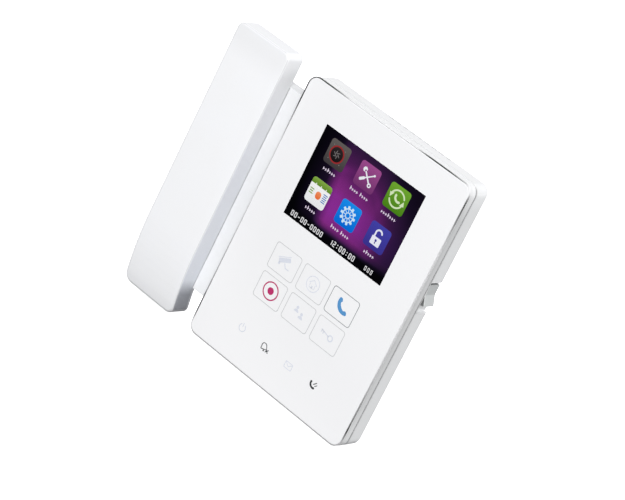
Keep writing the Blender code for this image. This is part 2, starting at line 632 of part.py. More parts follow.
def make_cradle():
    cover = cradle_block("cradle_cover", CRADLE_FRONT, CRADLE_PARTING - GAP, WHITE_ABS, 0.0, 0.0)
    seat = bent_slab("handset_seat", -0.140, HANDSET_STEP_X, -0.100, 0.110, -0.040, HS_BACK + 0.0005,
                     (0.0005, 0.0005))
    wells = rods("boss_wells", BOSS_R + 0.0008, [((HS_MID, -0.030, z), (HS_MID, BOSS_BACK + 0.0006, z))
                                                 for z in (EAR_Z, MOUTH_Z)], steps=28)
    hollow = box("cradle_hollow", (CRADLE_LEFT + 0.0030, -0.0182, -0.0355),
                 (CRADLE_RIGHT - 0.0025, OUTSIDE, 0.0425))
    plunger_hole = rod("plunger_hole", 0.0027, (HOOK_X, -0.030, HOOK_Z), (HOOK_X, OUTSIDE, HOOK_Z))
    cut(cover, seat, wells, hollow, plunger_hole)

    base = cradle_block("cradle_base", CRADLE_PARTING, CRADLE_BACK, WHITE_ABS, 0.0002, 0.0012)
    room = prism("base_room", [cradle_outline(0.0020, 4)], CRADLE_PARTING - OUTSIDE, CRADLE_BACK - 0.0020)
    cut(base, room)
    bosses = rods("cradle_screw_bosses", 0.0025, [((-0.0765, CRADLE_SCREW_Y, z),
                                                   (CRADLE_RIGHT - 0.001, CRADLE_SCREW_Y, z))
                                                  for z in CRADLE_SCREW_Z], steps=16)
    join(base, bosses)
    holes = rods("cradle_base_holes", 0.0015, [((-0.0755, CRADLE_SCREW_Y, z), (-0.060, CRADLE_SCREW_Y, z))
                                               for z in CRADLE_SCREW_Z], steps=12)
    port = box("base_wire_port", (-0.075, -0.0130, -0.004), (-0.060, -0.0108, 0.004))
    jack_bay = box("jack_bay", (HS_MID - 0.0053, CRADLE_PARTING - OUTSIDE, CRADLE_BOTTOM - OUTSIDE),
                   (HS_MID + 0.0053, -0.0090, CRADLE_BOTTOM + 0.0110))
    cut(base, holes, port, jack_bay)
    socket("base_cord_socket", (HS_MID - 0.0050, -0.0142, CRADLE_BOTTOM + 0.0004),
           (HS_MID + 0.0050, -0.0093, CRADLE_BOTTOM + 0.0106), (2, -1), 0.0004, 0.0090, BLACK)


def make_hook_switch():
    turned("hook_plunger", [(0.0, 0.0), (0.0012, 0.0), (0.0020, -0.0005), (0.0024, -0.0014),
                            (0.0024, -0.0052), (0.0036, -0.0052), (0.0036, -0.0062), (0.0, -0.0062)],
           (HOOK_X, HS_BACK + GAP, HOOK_Z), (0.0, -1.0, 0.0), WHITE_ABS, 20)
    turns = 3
    per_turn = 12
    coil_r = 0.0027
    bottom, top = -0.0110, -0.0134
    curve = bpy.data.curves.new("hook_spring", "CURVE")
    curve.dimensions = "3D"
    curve.bevel_depth = 0.00022
    curve.bevel_resolution = 2
    curve.use_fill_caps = True
    spline = curve.splines.new("POLY")
    count = turns * per_turn
    spline.points.add(count)
    for i, point in enumerate(spline.points):
        angle = 2 * pi * i / per_turn
        level = bottom + (top - bottom) * i / count
        point.co = (coil_r * cos(angle), level, coil_r * sin(angle), 1.0)
    coil = bpy.data.objects.new("hook_spring", curve)
    coil.location = (HOOK_X, 0.0, HOOK_Z)
    PARTS.objects.link(coil)
    curve.materials.append(STEEL)
    box("hook_switch", (HOOK_X - 0.0014, -0.0122, HOOK_Z - 0.0014),
        (HOOK_X + 0.0014, -0.0107, HOOK_Z + 0.0014), BLACK)
    for name, z in (("cradle_magnet_upper", PLATE_Z[0]), ("cradle_magnet_lower", PLATE_Z[1])):
        x = HS_MID + 0.0105
        rod(name, 0.0050, (x, -0.0179, z), (x, -0.0160, z), STEEL, 20)


# ---------------------------------------------------------------- fasteners
def screw(name, head_r, head_h, shank_r, length, place, direction):
    """A pan-head screw with a cross recess: place is the underside of its head, on the frame's
    X or Y axis, and direction points out of it."""
    made = turned(name, [(0.0, head_h), (head_r * 0.8, head_h), (head_r, head_h * 0.5), (head_r, 0.0),
                         (shank_r, 0.0), (shank_r, -length + shank_r), (shank_r * 0.3, -length),
                         (0.0, -length)], place, direction, STEEL, 14)
    out = Vector(direction)
    floor = Vector(place) + out * head_h * 0.45
    level = Vector((0.0, 0.0, 1.0))
    across = out.cross(level)
    for i, (wide, narrow) in enumerate(((level, across), (across, level))):
        reach = wide * head_r * 0.55 + narrow * head_r * 0.13
        ends = (floor - reach, floor + reach + out * OUTSIDE)
        low = [min(pair) for pair in zip(*ends)]
        high = [max(pair) for pair in zip(*ends)]
        cut(made, box(f"{name}_slot_{i}", low, high))


def make_fasteners():
    for i, (x, z) in enumerate(corners_of(CASE_SCREW_X, CASE_SCREW_Z), 1):
        screw(f"case_screw_{i}", 0.0028, 0.0014, 0.0013, 0.0125, (x, -0.0030 + GAP, z), (0.0, 1.0, 0.0))
    places = [(x, z) for x in (-BOARD_SCREW_X, BOARD_SCREW_X) for z in BOARD_SCREW_Z]
    for i, (x, z) in enumerate(places, 1):
        screw(f"board_screw_{i}", 0.0023, 0.0013, 0.0011, 0.0062, (x, -0.0129, z), (0.0, -1.0, 0.0))
    for name, z in (("cradle_screw_upper", CRADLE_SCREW_Z[0]), ("cradle_screw_lower", CRADLE_SCREW_Z[1])):
        screw(name, 0.0024, 0.0014, 0.0012, 0.0074, (GAP + WALL - BODY_W / 2, CRADLE_SCREW_Y, z),
              (1.0, 0.0, 0.0))
    for name, z in (("handset_screw_upper", HS_SCREW_Z[0]), ("handset_screw_lower", HS_SCREW_Z[1])):
        screw(name, 0.0022, 0.0006, 0.0011, 0.0080, (HS_MID, -0.0214 + GAP, z), (0.0, 1.0, 0.0))


make_wall_bracket()
make_rear_cover()
make_front_frame()
make_panel()
make_display()
make_touch_keys()
make_electronics()
make_rocker()
make_handset_front()
make_handset_back()
make_handset_inside()
make_cradle()
make_hook_switch()
make_fasteners()
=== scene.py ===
"""Looks of a wall-mounted video intercom monitor with a handset in a side cradle.

Everything is in the CAD frame: metres, +Z up, +X to the right of someone facing the screen,
+Y into the wall. Printed marks and the picture on the display are thin solids laid on the
panel in layers; their outlines are drawn in millimetres, as (x, z) points.
"""
import json
from math import atan2, cos, degrees, hypot, pi, radians, sin

import bmesh
import bpy
from mathutils import Matrix, Quaternion, Vector


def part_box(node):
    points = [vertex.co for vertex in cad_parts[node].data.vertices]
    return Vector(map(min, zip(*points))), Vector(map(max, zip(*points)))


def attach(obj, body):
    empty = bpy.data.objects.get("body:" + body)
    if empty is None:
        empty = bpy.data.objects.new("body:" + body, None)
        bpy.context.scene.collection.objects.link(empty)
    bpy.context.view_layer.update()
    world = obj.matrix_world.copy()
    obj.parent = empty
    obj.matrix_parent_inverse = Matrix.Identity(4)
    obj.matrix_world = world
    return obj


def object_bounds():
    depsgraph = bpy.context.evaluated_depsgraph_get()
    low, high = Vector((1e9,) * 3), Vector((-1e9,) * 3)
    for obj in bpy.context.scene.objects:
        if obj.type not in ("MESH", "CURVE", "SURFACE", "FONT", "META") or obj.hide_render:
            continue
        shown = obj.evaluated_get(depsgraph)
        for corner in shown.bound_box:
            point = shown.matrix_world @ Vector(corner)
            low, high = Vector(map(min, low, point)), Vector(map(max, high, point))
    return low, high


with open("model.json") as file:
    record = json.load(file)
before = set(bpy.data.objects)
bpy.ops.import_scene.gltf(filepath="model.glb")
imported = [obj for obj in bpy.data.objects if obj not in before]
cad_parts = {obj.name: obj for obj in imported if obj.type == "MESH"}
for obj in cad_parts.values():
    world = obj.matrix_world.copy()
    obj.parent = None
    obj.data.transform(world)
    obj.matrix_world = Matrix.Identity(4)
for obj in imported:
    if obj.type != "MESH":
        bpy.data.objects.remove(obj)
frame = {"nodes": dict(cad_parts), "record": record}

CAD_LOW, CAD_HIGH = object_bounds()
SCENE = bpy.context.scene
MM = 0.001


# ---------------------------------------------------------------- camera
AIM = Vector((-0.0117, -0.0234, 0.0009))
AZIMUTH = radians(30.66)
ELEVATION = radians(18.93)
ROLL = radians(26.7)
DISTANCE = 1.6909
LENS = 153.85


def add_camera():
    camera = bpy.data.objects.new("studio_camera", bpy.data.cameras.new("studio_camera"))
    SCENE.collection.objects.link(camera)
    outward = Vector((sin(AZIMUTH) * cos(ELEVATION), -cos(AZIMUTH) * cos(ELEVATION),
                      sin(ELEVATION)))
    camera.location = AIM + outward * DISTANCE
    camera.rotation_mode = "QUATERNION"
    upright = (-outward).to_track_quat("-Z", "Y")
    camera.rotation_quaternion = upright @ Quaternion((0.0, 0.0, 1.0), ROLL)
    camera.data.lens = LENS
    camera.data.clip_start = 0.05
    camera.data.clip_end = 60.0
    SCENE.camera = camera


# ---------------------------------------------------------------- lights, backdrop and floor
def add_softbox(name, place, target, size, power):
    lamp = bpy.data.lights.new(name, "AREA")
    lamp.shape = "RECTANGLE"
    lamp.size, lamp.size_y = size
    lamp.energy = power
    made = bpy.data.objects.new(name, lamp)
    SCENE.collection.objects.link(made)
    made.location = place
    made.rotation_mode = "QUATERNION"
    made.rotation_quaternion = (Vector(target) - Vector(place)).to_track_quat("-Z", "Y")
    made.visible_camera = False


def add_world():
    """White to the eye; as a light it is bright overhead and dim below the horizon."""
    world = bpy.data.worlds.new("studio")
    SCENE.world = world
    world.use_nodes = True
    tree = world.node_tree
    tree.nodes.clear()
    place = tree.nodes.new("ShaderNodeTexCoord")
    split = tree.nodes.new("ShaderNodeSeparateXYZ")
    tree.links.new(place.outputs["Generated"], split.inputs[0])
    spread = tree.nodes.new("ShaderNodeMapRange")
    spread.inputs["From Min"].default_value = -1.0
    tree.links.new(split.outputs["Z"], spread.inputs["Value"])
    ramp = tree.nodes.new("ShaderNodeValToRGB")
    stops = ramp.color_ramp.elements
    stops[0].position, stops[0].color = 0.0, (0.09, 0.092, 0.096, 1.0)
    stops[1].position, stops[1].color = 1.0, (0.74, 0.74, 0.75, 1.0)
    for position, level in ((0.42, 0.13), (0.53, 0.52), (0.62, 0.80), (0.80, 0.74)):
        stop = stops.new(position)
        stop.color = (level, level, level * 1.01, 1.0)
    tree.links.new(spread.outputs["Result"], ramp.inputs["Fac"])
    light = tree.nodes.new("ShaderNodeBackground")
    light.inputs["Strength"].default_value = 1.0
    tree.links.new(ramp.outputs["Color"], light.inputs["Color"])
    seen = tree.nodes.new("ShaderNodeBackground")
    seen.inputs["Color"].default_value = (1.0, 1.0, 1.0, 1.0)
    rays = tree.nodes.new("ShaderNodeLightPath")
    choose = tree.nodes.new("ShaderNodeMixShader")
    tree.links.new(rays.outputs["Is Camera Ray"], choose.inputs["Fac"])
    tree.links.new(light.outputs[0], choose.inputs[1])
    tree.links.new(seen.outputs[0], choose.inputs[2])
    out = tree.nodes.new("ShaderNodeOutputWorld")
    tree.links.new(choose.outputs[0], out.inputs["Surface"])


def add_floor():
    """A broad pale sheet under the object."""
    bm = bmesh.new()
    bmesh.ops.create_grid(bm, x_segments=8, y_segments=8, size=9.0)
    mesh = bpy.data.meshes.new("studio_floor")
    bm.to_mesh(mesh)
    bm.free()
    floor = bpy.data.objects.new("studio_floor", mesh)
    SCENE.collection.objects.link(floor)
    floor.location = (0.0, 0.0, CAD_LOW.z - 0.0005)
    floor.visible_diffuse = False
    floor.visible_glossy = False
    paint = Paint("floor_white", roughness=0.6)
    tone = paint.blend((0.90, 0.90, 0.90), (0.93, 0.93, 0.93), paint.noise(3.0, 2.0))
    paint.set("Base Color", tone)
    paint.set("Emission Color", (1.0, 1.0, 1.0))
    paint.set("Emission Strength", 0.80)
    mesh.materials.append(paint.material)


# ---------------------------------------------------------------- materials
BODY_HALF_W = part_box("front_frame")[1].x
BODY_HALF_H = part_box("front_frame")[1].z
PANEL_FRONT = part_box("front_panel")[0].y
CASE_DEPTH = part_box("rear_cover")[1].y - PANEL_FRONT

SIDE_START = 0.004             # the case's long sides get their painted shades from here out
SIDE_FULL = 0.0015
TOP_SHARE = 0.28               # how much of those painted shades the top and bottom get
CORNER_START = 0.0925          # heights between which the trim turns from side to top or bottom
CORNER_END = 0.0955
SLOT_BOX = ((-0.02, -0.0056, 0.090), (0.04, -0.0045, BODY_HALF_H - 0.00004))  # vents in the top


def linear(r, g, b):
    """A display colour from 0 to 255 as the linear values that shaders take."""
    made = []
    for value in (r, g, b):
        level = value / 255
        made.append(level / 12.92 if level <= 0.04045 else ((level + 0.055) / 1.055) ** 2.4)
    return tuple(made)


class Paint:
    """A Principled material with short ways to add the nodes that drive it."""

    def __init__(self, name, roughness=0.4, metallic=0.0, specular=0.5, coat=0.0,
                 coat_roughness=0.03):
        self.material = bpy.data.materials.new(name)
        self.material.use_nodes = True
        self.tree = self.material.node_tree
        self.shader = self.tree.nodes["Principled BSDF"]
        self.set("Roughness", roughness)
        self.set("Metallic", metallic)
        self.set("Specular IOR Level", specular)
        self.set("Coat Weight", coat)
        self.set("Coat Roughness", coat_roughness)
        self.place = self.tree.nodes.new("ShaderNodeTexCoord").outputs["Object"]

    def put(self, node, socket, value):
        target = node.inputs[socket]
        if isinstance(value, bpy.types.NodeSocket):
            self.tree.links.new(value, target)
        elif isinstance(value, tuple) and target.type == "RGBA":
            target.default_value = (*value, 1.0)
        else:
            target.default_value = value

    def set(self, socket, value):
        self.put(self.shader, socket, value)

    def math(self, operation, first, second=0.0, third=0.0):
        node = self.tree.nodes.new("ShaderNodeMath")
        node.operation = operation
        self.put(node, 0, first)
        self.put(node, 1, second)
        if operation == "MULTIPLY_ADD":
            self.put(node, 2, third)
        return node.outputs[0]

    def axes(self):
        node = self.tree.nodes.new("ShaderNodeSeparateXYZ")
        self.put(node, 0, self.place)
        return node.outputs["X"], node.outputs["Y"], node.outputs["Z"]

    def stretched(self, x, y, z):
        node = self.tree.nodes.new("ShaderNodeMapping")
        self.put(node, "Vector", self.place)
        node.inputs["Scale"].default_value = (x, y, z)
        return node.outputs[0]

    def noise(self, scale, detail=3.0, roughness=0.5, place=None):
        node = self.tree.nodes.new("ShaderNodeTexNoise")
        self.put(node, "Vector", place or self.place)
        self.put(node, "Scale", scale)
        self.put(node, "Detail", detail)
        self.put(node, "Roughness", roughness)
        return node.outputs["Fac"]

    def cells(self, scale, feature="F1", place=None, output="Distance"):
        node = self.tree.nodes.new("ShaderNodeTexVoronoi")
        node.feature = feature
        self.put(node, "Vector", place or self.place)
        self.put(node, "Scale", scale)
        return node.outputs[output]

    def span(self, value, low, high, to_low=0.0, to_high=1.0, smooth=False):
        node = self.tree.nodes.new("ShaderNodeMapRange")
        node.interpolation_type = "SMOOTHSTEP" if smooth else "LINEAR"
        self.put(node, "Value", value)
        self.put(node, "From Min", low)
        self.put(node, "From Max", high)
        self.put(node, "To Min", to_low)
        self.put(node, "To Max", to_high)
        return node.outputs["Result"]

    def ramp(self, value, stops):
        node = self.tree.nodes.new("ShaderNodeValToRGB")
        elements = node.color_ramp.elements
        while len(elements) < len(stops):
            elements.new(0.5)
        for element, (position, colour) in zip(elements, stops):
            element.position = position
            shade = colour if isinstance(colour, tuple) else (colour,) * 3
            element.color = (*shade, 1.0)
        self.put(node, "Fac", value)
        return node.outputs["Color"]

    def along(self, value, half, stops):
        """A ramp over places from -half to half; stops pair a place in metres with a shade."""
        places = [(0.5 + place / half / 2, shade) for place, shade in stops]
        return self.ramp(self.span(value, -half, half), places)

    def blend(self, first, second, share, mode="MIX"):
        node = self.tree.nodes.new("ShaderNodeMix")
        node.data_type = "RGBA"
        node.blend_type = mode
        colours = [s for s in node.inputs if s.type == "RGBA"]
        for socket, value in ((colours[0], first), (colours[1], second)):
            if isinstance(value, bpy.types.NodeSocket):
                self.tree.links.new(value, socket)
            else:
                socket.default_value = (*value, 1.0)
        factor = next(s for s in node.inputs if s.type == "VALUE" and s.enabled)
        if isinstance(share, bpy.types.NodeSocket):
            self.tree.links.new(share, factor)
        else:
            factor.default_value = share
        return next(s for s in node.outputs if s.type == "RGBA")

    def bump(self, height, distance, strength=1.0, under=None):
        node = self.tree.nodes.new("ShaderNodeBump")
        self.put(node, "Height", height)
        self.put(node, "Distance", distance)
        self.put(node, "Strength", strength)
        if under is not None:
            self.put(node, "Normal", under)
        return node.outputs["Normal"]

    def crevices(self, distance):
        """0 in a tight corner, 1 in the open."""
        node = self.tree.nodes.new("ShaderNodeAmbientOcclusion")
        node.samples = 4
        self.put(node, "Distance", distance)
        return node.outputs["AO"]

    def normal(self):
        """The surface's direction, as three values."""
        split = self.tree.nodes.new("ShaderNodeSeparateXYZ")
        self.put(split, 0, self.tree.nodes.new("ShaderNodeTexCoord").outputs["Normal"])
        return split.outputs

    def looking(self, value):
        """1 where a component of the direction, or its size, says that a face is square to it."""
        return self.span(value, 0.88, 0.975)

    def inside(self, low, high):
        """1 between two corners, 0 outside."""
        within = 1.0
        for value, start, end in zip(self.axes(), low, high):
            between = self.math("MULTIPLY", self.math("GREATER_THAN", value, start),
                                self.math("LESS_THAN", value, end))
            within = self.math("MULTIPLY", between, within)
        return within

    def rounded(self):
        """1 on rounded edges, 0 on faces square to an axis and on the upper right-hand corner."""
        x, y, z = self.normal()
        largest = self.math("MAXIMUM", self.math("ABSOLUTE", x), self.math("ABSOLUTE", y))
        largest = self.math("MAXIMUM", largest, self.math("ABSOLUTE", z))
        corner = self.span(self.math("MINIMUM", x, z), 0.35, 0.10)
        return self.math("MULTIPLY", self.span(largest, 0.975, 0.86), corner)

    def edges(self, radius):
        """1 on an outside edge, 0 on the flat."""
        bevel = self.tree.nodes.new("ShaderNodeBevel")
        bevel.samples = 4
        self.put(bevel, "Radius", radius)
        plain = self.tree.nodes.new("ShaderNodeNewGeometry").outputs["Normal"]
        dot = self.tree.nodes.new("ShaderNodeVectorMath")
        dot.operation = "DOT_PRODUCT"
        self.tree.links.new(bevel.outputs["Normal"], dot.inputs[0])
        self.tree.links.new(plain, dot.inputs[1])
        return self.span(dot.outputs["Value"], 0.995, 0.90)


def moulded_white(name, tone, roughness, grain=1.0, sides=(), fronts=(), deep=(), rim=1.0,
                  cheeks=1.0, slots=()):
    """Satin moulded plastic: fine spark-eroded grain, faint flow mottling, painted shade in the
    seams.

    sides and fronts pair heights with factors or colours of painted light and shade for the faces
    looking to the right and to the front. deep pairs distances behind the panel's face with factors
    of painted shade for the case's long sides. rim is a factor of painted shade for the rounded
    edges, and cheeks one for the faces that look along Y. slots is a box, as two corners, in which
    narrow slots have painted shade.
    """
    paint = Paint(name, roughness=roughness, specular=0.45)
    warm = tuple(c * k for c, k in zip(tone, (0.992, 0.988, 0.980)))
    mottle = paint.span(paint.noise(38.0, 4.0), 0.2, 0.8, smooth=True)
    body = paint.blend(tone, warm, mottle)
    # painted light and shade: faces looking right or to the front get a factor by height
    for shades, axis, way in ((sides, 0, 1.0), (fronts, 1, -1.0)):
        if shades:
            up = paint.along(paint.axes()[2], BODY_HALF_H, shades)
            towards = paint.looking(paint.math("MULTIPLY", paint.normal()[axis], way))
            body = paint.blend(body, up, towards, "MULTIPLY")
    # painted shade along the case's long sides, by depth behind the panel's face, darkest at the
    # seam
    if deep:
        behind = paint.span(paint.axes()[1], PANEL_FRONT, PANEL_FRONT + CASE_DEPTH)
        stops = [(distance / CASE_DEPTH, factor) for distance, factor in deep]
        beside = paint.span(paint.math("ABSOLUTE", paint.axes()[0]), BODY_HALF_W - SIDE_START,
                            BODY_HALF_W - SIDE_FULL, TOP_SHARE, 1.0)
        body = paint.blend(body, paint.ramp(behind, stops), beside, "MULTIPLY")
    # painted shade on the rounded edges, which would otherwise face the light more
    if rim < 1.0:
        body = paint.blend(body, (rim,) * 3, paint.rounded(), "MULTIPLY")
    # painted shade on the faces that look along Y
    if cheeks < 1.0:
        ends = paint.looking(paint.math("ABSOLUTE", paint.normal()[1]))
        body = paint.blend(body, (cheeks,) * 3, ends, "MULTIPLY")
    # painted shade inside the narrow slots
    if slots:
        body = paint.blend(body, (0.42, 0.43, 0.44), paint.inside(*slots))
    speck = paint.span(paint.noise(900.0, 2.0), 0.30, 0.36, 0.35, 0.0)
    body = paint.blend(body, tuple(c * 0.93 for c in tone), speck)
    # painted shade in tight corners and seams, taken from ambient occlusion
    crevice_shade = paint.span(paint.crevices(0.0022), 0.15, 0.75, 0.14, 0.0)
    body = paint.blend(body, (0.50, 0.49, 0.47), crevice_shade)
    worn = paint.math("MULTIPLY", paint.edges(0.0004), paint.span(paint.noise(160.0), 0.45, 0.7))
    body = paint.blend(body, (0.93, 0.935, 0.94), paint.math("MULTIPLY", worn, 0.25))
    paint.set("Base Color", body)
    handled = paint.noise(130.0, 5.0, 0.6)
    paint.set("Roughness", paint.span(handled, 0.3, 0.7, roughness - 0.012, roughness + 0.012))
    texture = paint.noise(2600.0, 2.0)
    ripple = paint.bump(paint.noise(45.0, 1.0), 0.00008, 0.15)
    paint.set("Normal", paint.bump(texture, 0.000012 * grain, 0.5, ripple))
    return paint.material


def polished_panel(name):
    """Back-printed acrylic: a hard gloss over white ink, with faint wipe marks in the gloss."""
    paint = Paint(name, roughness=0.10, coat=0.35, coat_roughness=0.02)
    tone = paint.blend((0.900, 0.903, 0.915), (0.915, 0.917, 0.926), paint.noise(14.0, 3.0))
    ink = paint.span(paint.noise(1400.0, 2.0), 0.3, 0.7)
    tone = paint.blend(tone, (0.885, 0.888, 0.90), paint.math("MULTIPLY", ink, 0.35))
    x, _, z = paint.axes()
    # painted light: the panel is paler towards its lower left corner
    corner = paint.span(paint.math("MULTIPLY_ADD", x, 0.6, z), -0.02, -0.13, smooth=True)
    tone = paint.blend(tone, (0.968, 0.970, 0.978), corner)
    # painted highlight along the panel's edges
    rim = paint.math("MULTIPLY", paint.edges(0.0003), 0.35)
    paint.set("Base Color", paint.blend(tone, (0.96, 0.97, 0.98), rim))
    wipes = paint.noise(24.0, 6.0, 0.65, paint.stretched(1.0, 1.0, 3.5))
    prints = paint.noise(9.0, 2.0)
    dull = paint.math("MULTIPLY", paint.span(wipes, 0.45, 0.75), paint.span(prints, 0.5, 0.7))
    paint.set("Roughness", paint.math("MULTIPLY_ADD", dull, 0.12, 0.07))
    paint.set("Normal", paint.bump(paint.noise(30.0, 1.0), 0.00004, 0.08))
    return paint.material


def bright_trim(name):
    """Plated edge strip. Painted reflections: the dark stretches near its corners are painted in as
    darker plating.
    """
    paint = Paint(name, roughness=0.16)
    x, _, z = paint.axes()
    top = paint.span(z, CORNER_START, CORNER_END, smooth=True)
    right = paint.span(x, -0.010, 0.010)
    bottom = paint.span(z, -CORNER_START, -CORNER_END, smooth=True)
    # painted reflections: how bright the plating shows, up each side and along the top
    up_left = paint.along(z, BODY_HALF_H, [
        (-0.090, 1.0), (-0.082, 0.22), (-0.074, 0.22), (-0.066, 0.62), (-0.050, 0.72),
        (-0.033, 0.77), (0.0, 0.90), (0.0465, 0.88), (0.054, 0.80), (0.062, 0.68),
        (0.070, 0.56), (0.078, 0.05), (0.086, 0.0), (0.094, 0.55)])
    up_right = paint.along(z, BODY_HALF_H, [
        (-0.0968, 0.90), (-0.090, 0.72), (-0.082, 0.33), (-0.074, 0.54), (-0.066, 0.57),
        (-0.054, 0.68), (-0.039, 0.80), (0.0, 0.88), (0.050, 0.86), (0.062, 0.76),
        (0.070, 0.57), (0.078, 0.45), (0.086, 0.38), (0.094, 1.0)])
    along_top = paint.along(x, BODY_HALF_W, [
        (-0.0701, 0.70), (-0.0673, 0.10), (-0.059, 0.0), (-0.052, 0.02), (-0.044, 0.50),
        (-0.036, 0.95), (0.014, 1.0), (0.0225, 0.92), (0.028, 0.58), (0.036, 0.03),
        (0.044, 0.02), (0.052, 0.20), (0.060, 0.60), (0.068, 1.0)])
    painted_reflection = paint.blend(paint.blend(up_left, up_right, right), along_top, top)
    painted_reflection = paint.blend(painted_reflection, (0.76, 0.76, 0.76), bottom)
    streaks = paint.noise(420.0, 3.0, 0.6, paint.stretched(0.15, 6.0, 0.15))
    # dark and metallic where the painted reflection is dark, near-white and dull where it is bright
    tone = paint.blend((0.045, 0.047, 0.052), (0.95, 0.95, 0.96), painted_reflection)
    worn = paint.span(streaks, 0.55, 0.8, 0.0, 0.15)
    paint.set("Base Color", paint.blend(tone, (0.50, 0.51, 0.52), worn))
    paint.set("Metallic", paint.span(painted_reflection, 0.2, 0.9, 1.0, 0.05))
    paint.set("Roughness", paint.span(streaks, 0.3, 0.8, 0.10, 0.26))
    paint.set("Normal", paint.bump(streaks, 0.00002, 0.2))
    return paint.material


def zinc_plate(name):
    """Zinc-plated sheet steel: soft crystals, rolling lines and dull finger marks."""
    paint = Paint(name, roughness=0.38, metallic=1.0)
    crystals = paint.cells(260.0, output="Color")
    tone = paint.blend((0.56, 0.57, 0.58), (0.66, 0.665, 0.67), paint.noise(60.0, 4.0))
    tone = paint.blend(tone, crystals, 0.06, "SOFT_LIGHT")
    lines = paint.noise(700.0, 2.0, 0.5, paint.stretched(1.0, 1.0, 0.05))
    tone = paint.blend(tone, (0.44, 0.45, 0.46), paint.span(lines, 0.55, 0.8, 0.0, 0.4))
    worn = paint.edges(0.0003)
    tone = paint.blend(tone, (0.80, 0.80, 0.81), paint.math("MULTIPLY", worn, 0.6))
    paint.set("Base Color", tone)
    paint.set("Roughness", paint.span(paint.noise(85.0, 5.0), 0.3, 0.7, 0.30, 0.48))
    paint.set("Normal", paint.bump(lines, 0.00003, 0.25))
    return paint.material


def turned_steel(name):
    """Bright screws, cans and plates: fine tool marks and painted shade in the hollows."""
    tone, roughness = (0.58, 0.585, 0.60), 0.36
    paint = Paint(name, roughness=roughness, metallic=1.0)
    marks = paint.noise(1800.0, 2.0, 0.6)
    body = paint.blend(tone, tuple(c * 0.72 for c in tone), paint.span(marks, 0.5, 0.8, 0.0, 0.5))
    # painted shade in the hollows, taken from ambient occlusion
    hollow = paint.span(paint.crevices(0.001), 0.1, 0.8, 0.6, 0.0)
    paint.set("Base Color", paint.blend(body, (0.10, 0.10, 0.10), hollow))
    paint.set("Roughness", paint.span(marks, 0.3, 0.7, roughness - 0.06, roughness + 0.10))
    paint.set("Normal", paint.bump(marks, 0.00001, 0.3))
    return paint.material


def moulded_dark(name):
    """Dark moulded plastic with a fine grain and greyed edges."""
    tone, roughness = (0.018, 0.018, 0.020), 0.45
    paint = Paint(name, roughness=roughness)
    paler = tuple(c * 1.8 for c in tone)
    body = paint.blend(tone, paler, paint.span(paint.noise(120.0, 4.0), 0.4, 0.7))
    worn = paint.math("MULTIPLY", paint.edges(0.0003), paint.span(paint.noise(300.0), 0.4, 0.7))
    paint.set("Base Color", paint.blend(body, (0.12, 0.12, 0.12), worn))
    handled = paint.noise(200.0, 3.0)
    paint.set("Roughness", paint.span(handled, 0.3, 0.7, roughness - 0.08, roughness + 0.1))
    paint.set("Normal", paint.bump(paint.noise(2200.0, 2.0), 0.00002, 0.4))
    return paint.material


def natural_nylon(name):
    """Cream connector plastic."""
    paint = Paint(name, roughness=0.42, specular=0.4)
    body = paint.blend((0.80, 0.77, 0.68), (0.74, 0.71, 0.61), paint.noise(150.0, 4.0))
    paint.set("Base Color", body)
    paint.set("Normal", paint.bump(paint.noise(1500.0, 2.0), 0.00002, 0.3))
    return paint.material


def solder_resist(name):
    """Green board: tracks under the resist, woven glass faintly in relief."""
    paint = Paint(name, roughness=0.30, coat=0.2, coat_roughness=0.15)
    tracks = paint.cells(330.0, "DISTANCE_TO_EDGE", paint.stretched(1.0, 1.0, 0.6))
    shade = paint.span(tracks, 0.03, 0.06)
    body = paint.blend((0.02, 0.16, 0.07), (0.012, 0.10, 0.045), shade)
    body = paint.blend(body, (0.03, 0.20, 0.10), paint.span(paint.noise(90.0, 4.0), 0.5, 0.8))
    paint.set("Base Color", body)
    weave = paint.cells(1700.0)
    paint.set("Normal", paint.bump(weave, 0.00001, 0.3, paint.bump(shade, 0.00003, 0.4)))
    return paint.material


TRACK_PITCH = 0.0010


def polyimide(name):
    """Amber ribbon with copper tracks running along it."""
    paint = Paint(name, roughness=0.35)
    x = paint.axes()[0]
    stripe = paint.math("SINE", paint.math("MULTIPLY", x, 2 * pi / TRACK_PITCH))
    body = paint.blend((0.55, 0.22, 0.05), (0.80, 0.45, 0.16), paint.span(stripe, -0.1, 0.1))
    stained = paint.span(paint.noise(80.0), 0.5, 0.9)
    paint.set("Base Color", paint.blend(body, (0.35, 0.14, 0.03), stained))
    paint.set("Normal", paint.bump(stripe, 0.00002, 0.3))
    return paint.material


def closed_foam(name):
    """Dark foam with fine closed pores."""
    paint = Paint(name, roughness=0.9, specular=0.2)
    pores = paint.cells(1400.0)
    body = paint.blend((0.02, 0.02, 0.022), (0.05, 0.05, 0.052), paint.span(pores, 0.1, 0.5))
    paint.set("Base Color", body)
    paint.set("Normal", paint.bump(pores, 0.0001, 0.6))
    return paint.material


def display_module(name):
    """Smoked glass and black tape of the display."""
    paint = Paint(name, roughness=0.18)
    body = paint.blend((0.012, 0.012, 0.015), (0.03, 0.03, 0.036), paint.noise(70.0, 4.0))
    paint.set("Base Color", body)
    paint.set("Roughness", paint.span(paint.noise(130.0, 4.0), 0.3, 0.7, 0.12, 0.30))
    return paint.material


def printed(name, colour):
    """Ink seen under the panel's gloss, slightly uneven like a screen print."""
    paint = Paint(name, roughness=0.22, coat=0.5)
    paler = tuple(min(1.0, c * 1.06 + 0.01) for c in colour)
    mesh_lines = paint.span(paint.noise(2400.0, 2.0), 0.35, 0.65)
    body = paint.blend(colour, paler, mesh_lines)
    paint.set("Base Color", paint.blend(body, paler, paint.span(paint.noise(220.0, 3.0), 0.5, 0.8)))
    return paint.material


PIXEL = 0.00018                # pitch of the display's dots
UNLIT = (0.0006, 0.0006, 0.0008)


